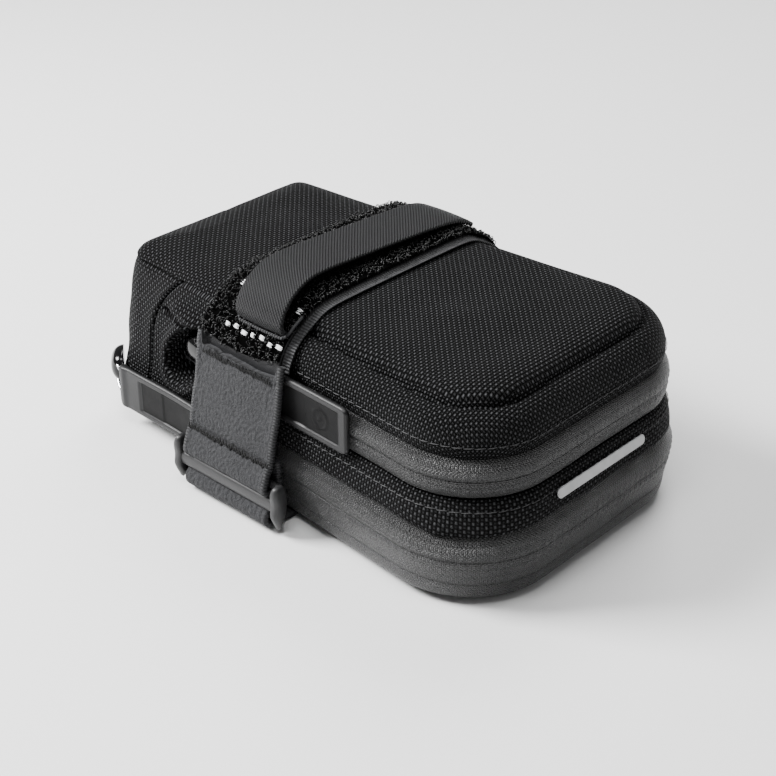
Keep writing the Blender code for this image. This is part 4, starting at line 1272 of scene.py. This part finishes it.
def slot_binding():
    """Bound edge of the slot in the pile that the rail webbing leaves by."""
    centre = -5.5
    half = 8.9
    outline = [
        (-half, 50.9), (-half, 49.2), (-half + 0.5, 48.2), (-half + 1.6, 47.5), (-half + 3.2, 47.2),
        (half - 2.6, 47.2), (half - 1.0, 47.5), (half - 0.2, 48.2), (half, 49.4), (half, 50.9),
    ]
    stock = Stock()
    stock.tube(spline([pile_spot(centre + dx, z, 0.2)[0] for dx, z in outline], 8), 0.42, 8)
    binding = stock.piece("slot_edge_binding", RIBS)
    fit(binding, "bag", ["slot_binding"])


# ---------------------------------------------------------------- hardware
PLATE = [
    (-1.4, 14.0), (0.3, 13.7), (1.1, 11.6), (1.0, 8.6), (0.4, 5.6), (-0.8, 2.8), (-1.7, 1.6),
    (-2.4, 3.0), (-3.4, 5.6), (-3.1, 8.6), (-3.3, 11.6), (-2.6, 13.6),
]


def end_plate(stock, x):
    """One side of the buckle: a flat plate with rounded edges."""
    half = 1.15
    outline = resample(spline(PLATE + PLATE[:1], 8), 61)[0][:-1]
    middle = outline.mean(0)
    rings = []
    edge = ((-1.0, 0.0), (-1.0, 0.72), (-0.8, 0.92), (-0.35, 1.0))
    for dx, shrink in edge + tuple((-dx, shrink) for dx, shrink in edge[::-1]):
        y, z = (middle + (outline - middle) * shrink).T
        rings.append(np.stack([np.full(len(y), x + dx * half), BUCKLE_Y + y, z], 1))
    stock.grid(np.array(rings), wrap_v=True)


def buckle():
    """Ladder lock: two end plates with raised lugs, joined by three bars."""
    x0 = STRAP_X0 - 2.8
    x1 = STRAP_X1 + 2.8
    stock = Stock()
    turn = np.linspace(0, 2 * math.pi, 24, endpoint=False)
    for z, tall, deep, out in (
        (BAR_LOW, 0.95, 0.95, 0.0),
        ((BAR_LOW + BAR_HIGH) / 2, 1.85, 0.75, -1.9),
        (BAR_HIGH, 0.95, 0.95, 0.0),
    ):
        x, angle = np.meshgrid(np.linspace(x0 + 0.4, x1 - 0.4, 12), turn, indexing="ij")
        y = BUCKLE_Y + out + deep * np.cos(angle)
        stock.grid(np.stack([x, y, z + tall * np.sin(angle)], -1), wrap_v=True)
    for x in (x0, x1):
        end_plate(stock, x)
    fit(stock.piece("buckle_frame", ACETAL), "bag", ["buckle"])


ALONG = np.array([COS, -SIN, 0.0])
OUT = np.array([-SIN, -COS, 0.0])
UP = np.array([0.0, 0.0, 1.0])


SLIDER_HALF = 4.75
SLIDER_TALL = 4.3
SLIDER_RISE = 3.3
WIRE_RADIUS = 0.52


def beside_wall(x, offset, z):
    return np.array([x, -half_width(x), z]) + OUT * offset


def zip_pull(tag, x, offset, z_slider, z_pull, z_end, press, reach, sunk, turn):
    """Slider, wire loop and rubber pull. The slider is sunk in the cloth and may turn a corner."""
    base = offset + 0.32
    body = tag + "_zip"
    spot = beside_wall(x, base - sunk, z_slider)
    a = math.radians(turn)
    way = ALONG * math.cos(a) + OUT * math.sin(a)
    out = OUT * math.cos(a) - ALONG * math.sin(a)
    spot = spot + ALONG * (1.2 if turn else 0.0)
    stock = Stock()
    rows = []
    for along in np.linspace(-1, 1, 26):
        tall = SLIDER_TALL * (0.52 + 0.48 * math.sqrt(max(0.0, 1 - (along * 0.96 + 0.12) ** 2)))
        rise = SLIDER_RISE * max(0.0, 1 - abs(along) ** 3.2) ** 0.5 + 0.35
        angle = np.linspace(0, math.pi, 20)
        middle = spot + way * along * SLIDER_HALF
        ring = [middle - UP * tall * math.cos(a) + out * rise * math.sin(a) ** 0.7 for a in angle]
        ring += [middle + UP * tall * 0.98 * math.cos(a) - out * 0.05 for a in angle]
        rows.append(ring)
    stock.grid(np.array(rows), wrap_v=True)
    slider = stock.piece(tag + "_slider_body", GLOSS)
    fit(slider, body, [tag + "_slider"])
    bar = spot + out * 1.95
    tip = beside_wall(x, base, z_pull) + OUT * 1.55 + ALONG * (SLIDER_HALF + reach)
    a = np.linspace(0, 2 * math.pi, 40, endpoint=False)[:, None]
    along = 0.5 - 0.5 * np.sign(np.cos(a)) * np.abs(np.cos(a)) ** 0.45
    across_z = 3.3 * np.sign(np.sin(a)) * np.abs(np.sin(a)) ** 0.45
    arch = OUT * 0.9 * np.sin(math.pi * along)
    wire = bar * (1 - along) + tip * along + UP * across_z + arch
    stock = Stock()
    stock.tube(wire, WIRE_RADIUS, 10, closed=True)
    loop = stock.piece(tag + "_pull_wire", METAL)
    fit(loop, body, [tag + "_pull_loop"])
    rubber_pull(tag, tip - ALONG * 1.6, z_end - z_pull, press, body)


PULL_LENGTH = 55.0
PULL_HALF = 6.3
PULL_BORDER = 1.55
RING_FROM_END = 9.5
RING_RADIUS = 2.5


def rubber_pull(tag, start, rise, press, body):
    """A rubber strip with a round barrel, a raised border and a sunk face."""
    a = np.concatenate([np.linspace(0, 4.5, 16), np.linspace(5, PULL_LENGTH - 3, 110),
                        np.linspace(PULL_LENGTH - 2.6, PULL_LENGTH, 14)])
    v = np.linspace(-1, 1, 61)
    thick = 0.78 + 0.42 * bell(a, 1.7, 1.3)
    edge_in = np.minimum(a / 0.7, (PULL_LENGTH - a) / 2.2)
    tall = PULL_HALF * (0.80 + 0.20 * np.sqrt(np.clip(1 - (1 - np.clip(edge_in, 0, 1)) ** 2, 0, 1)))
    inside_a = ease((a - 8.6) / 0.5) * ease((PULL_LENGTH - 2.3 - a) / 0.5)
    inside_v = ease((PULL_HALF - PULL_BORDER - np.abs(v[None]) * tall[:, None]) / 0.4)
    deeper_a = ease((a - 18.0) / 0.4) * ease((PULL_LENGTH - 14.5 - a) / 0.4)
    dish = (0.42 * inside_a + 0.16 * deeper_a)[:, None] * inside_v
    round_v = np.sqrt(np.clip(1 - np.clip((np.abs(v) - 0.9) / 0.1, 0, 1) ** 2, 0.04, 1))
    round_a = np.sqrt(np.clip(1 - (1 - np.clip((PULL_LENGTH - a) / 0.5, 0, 1)) ** 2, 0.05, 1))
    ex = (a - (PULL_LENGTH - RING_FROM_END))[:, None]
    ev = v[None] * tall[:, None]
    away = np.hypot(ex, ev)
    ring = bell(away, RING_RADIUS, 0.34) + np.exp(-((away / 0.7) ** 4))
    half = thick[:, None] * round_v[None] * round_a[:, None]
    front = half - dish + 0.24 * ring * inside_v
    lift = -press * ease(a / 26.0)
    z = rise * a / PULL_LENGTH
    core = start + ALONG * a[:, None] + OUT * lift[:, None] + UP * z[:, None]
    height = np.concatenate([front, -half[:, ::-1]], 1)[..., None]
    width = np.concatenate([ev, ev[:, ::-1]], 1)[..., None]
    stock = Stock()
    stock.grid(core[:, None] + OUT * height + UP * width, wrap_v=True)
    n = len(v)
    rows = len(a)
    caps = [[k, 2 * n - 1 - k, 2 * n - 2 - k, k + 1] for k in range(n - 1)]
    last = (rows - 1) * 2 * n
    caps += [[last + k + 1, last + 2 * n - 2 - k, last + 2 * n - 1 - k, last + k] for k in range(n - 1)]
    stock.cap(caps)
    tab = stock.piece(tag + "_pull_tab", RUBBER, RUBBER_FACE)
    sunk = dish > 0.3
    slots = np.zeros(len(tab.data.polygons), int)
    slots[: (rows - 1) * 2 * n].reshape(rows - 1, 2 * n)[:, : n - 1] = sunk[:-1, :-1] & sunk[1:, 1:]
    tab.data.polygons.foreach_set("material_index", slots)
    fit(tab, body, [tag + "_puller"])


def rear_mark():
    """A plain reflective bar on the rear band, in place of any wording."""
    half_length, half_height, middle = 17.0, 1.25, 24.2
    s = np.linspace(S_REAR - half_length, S_REAR + half_length, 90)
    v = np.linspace(-1, 1, 9)
    t = np.abs(np.linspace(-1, 1, 90))
    tall = half_height * np.sqrt(np.clip(1 - np.clip((t - 0.93) / 0.07, 0, 1) ** 2, 0.0, 1))
    z = middle + v[None] * tall[:, None]
    point, normal = surface_at(np.broadcast_to(s[:, None], z.shape), z, BAND_RIM)
    stock = Stock()
    stock.grid(point + normal * 0.42)
    with_bag(stock.piece("rear_reflector", REFLECTIVE, thick=0.3))


# ---------------------------------------------------------------- the object
lid_skin()
zips()
body_band()
front_panel()
side_panels()
base_skin()
divider()
row_of_stitches("rim_topstitch", 41.6, REAR_RIM, with_lid, 0.1)
row_of_stitches("band_topstitch", 25.6, BAND_RIM, with_bag, 0.18)
strap_top()
strap_window()
pile()
strap_side()
strap_under()
slot_binding()
reflective_tacks()
rail_webbing()
buckle()
zip_pull("upper", -35.5, UPPER_SWELL + 0.2, 29.4, 33.4, 34.6, 0.95, 5.0, 5.2, 0.0)
zip_pull("lower", -66.6, LOWER_SWELL + 0.2, 14.6, 11.2, 11.2, 1.1, 2.0, 2.2, 35.0)
rear_mark()


# ---------------------------------------------------------------- studio
def studio():
    floor_data = bpy.data.meshes.new("floor")
    reach = 6.0
    corners = [(-reach, -reach), (reach, -reach), (reach, reach), (-reach, reach)]
    floor_data.from_pydata([(x, y, -0.0002) for x, y in corners], [], [(0, 1, 2, 3)])
    floor = bpy.data.objects.new("floor", floor_data)
    bpy.context.scene.collection.objects.link(floor)
    floor_data.materials.append(Paint("studio_floor", (0.78, 0.78, 0.78), 0.6).material)
    world = bpy.data.worlds.new("studio")
    bpy.context.scene.world = world
    world.use_nodes = True
    background = world.node_tree.nodes["Background"]
    background.inputs[0].default_value = (1.0, 1.0, 1.0, 1.0)
    background.inputs[1].default_value = 0.21
    for name, azimuth, elevation, distance, size, power in (
        ("key", -52.0, 40.0, 0.75, 0.28, 18.5),
        ("top", 20.0, 75.0, 0.8, 0.4, 5.0),
        ("fill", 100.0, 35.0, 0.9, 0.6, 0.5),
        ("rim", 200.0, 48.0, 0.8, 0.4, 5.0),
    ):
        data = bpy.data.lights.new(name, "AREA")
        data.size = size
        data.energy = power
        aim(bpy.data.objects.new(name, data), (0, 0, 0.03), azimuth, elevation, distance)


def aim(made, target, azimuth, elevation, distance):
    """Places a camera or lamp so that it looks at a target, in metres. Azimuth 0 is in front of
    the left side, at -Y."""
    bpy.context.scene.collection.objects.link(made)
    a = math.radians(azimuth)
    e = math.radians(elevation)
    back = np.array([math.sin(a) * math.cos(e), -math.cos(a) * math.cos(e), math.sin(e)])
    made.location = np.array(target) + back * distance
    level = math.hypot(back[0], back[1])
    made.rotation_euler = (math.atan2(level, back[2]), 0.0, math.atan2(back[0], -back[1]))


def camera(target, azimuth, elevation, distance, lens):
    data = bpy.data.cameras.new("camera")
    data.lens = lens
    data.sensor_width = 36.0
    data.clip_start = 0.01
    data.clip_end = 20.0
    made = bpy.data.objects.new("camera", data)
    aim(made, np.array(target) * M, azimuth, elevation, distance * M)
    bpy.context.scene.camera = made


studio()
camera(target=(-6.9, 7.9, 11.7), azimuth=43.0, elevation=30.2, distance=439.0, lens=75.4)

bpy.context.view_layer.update()
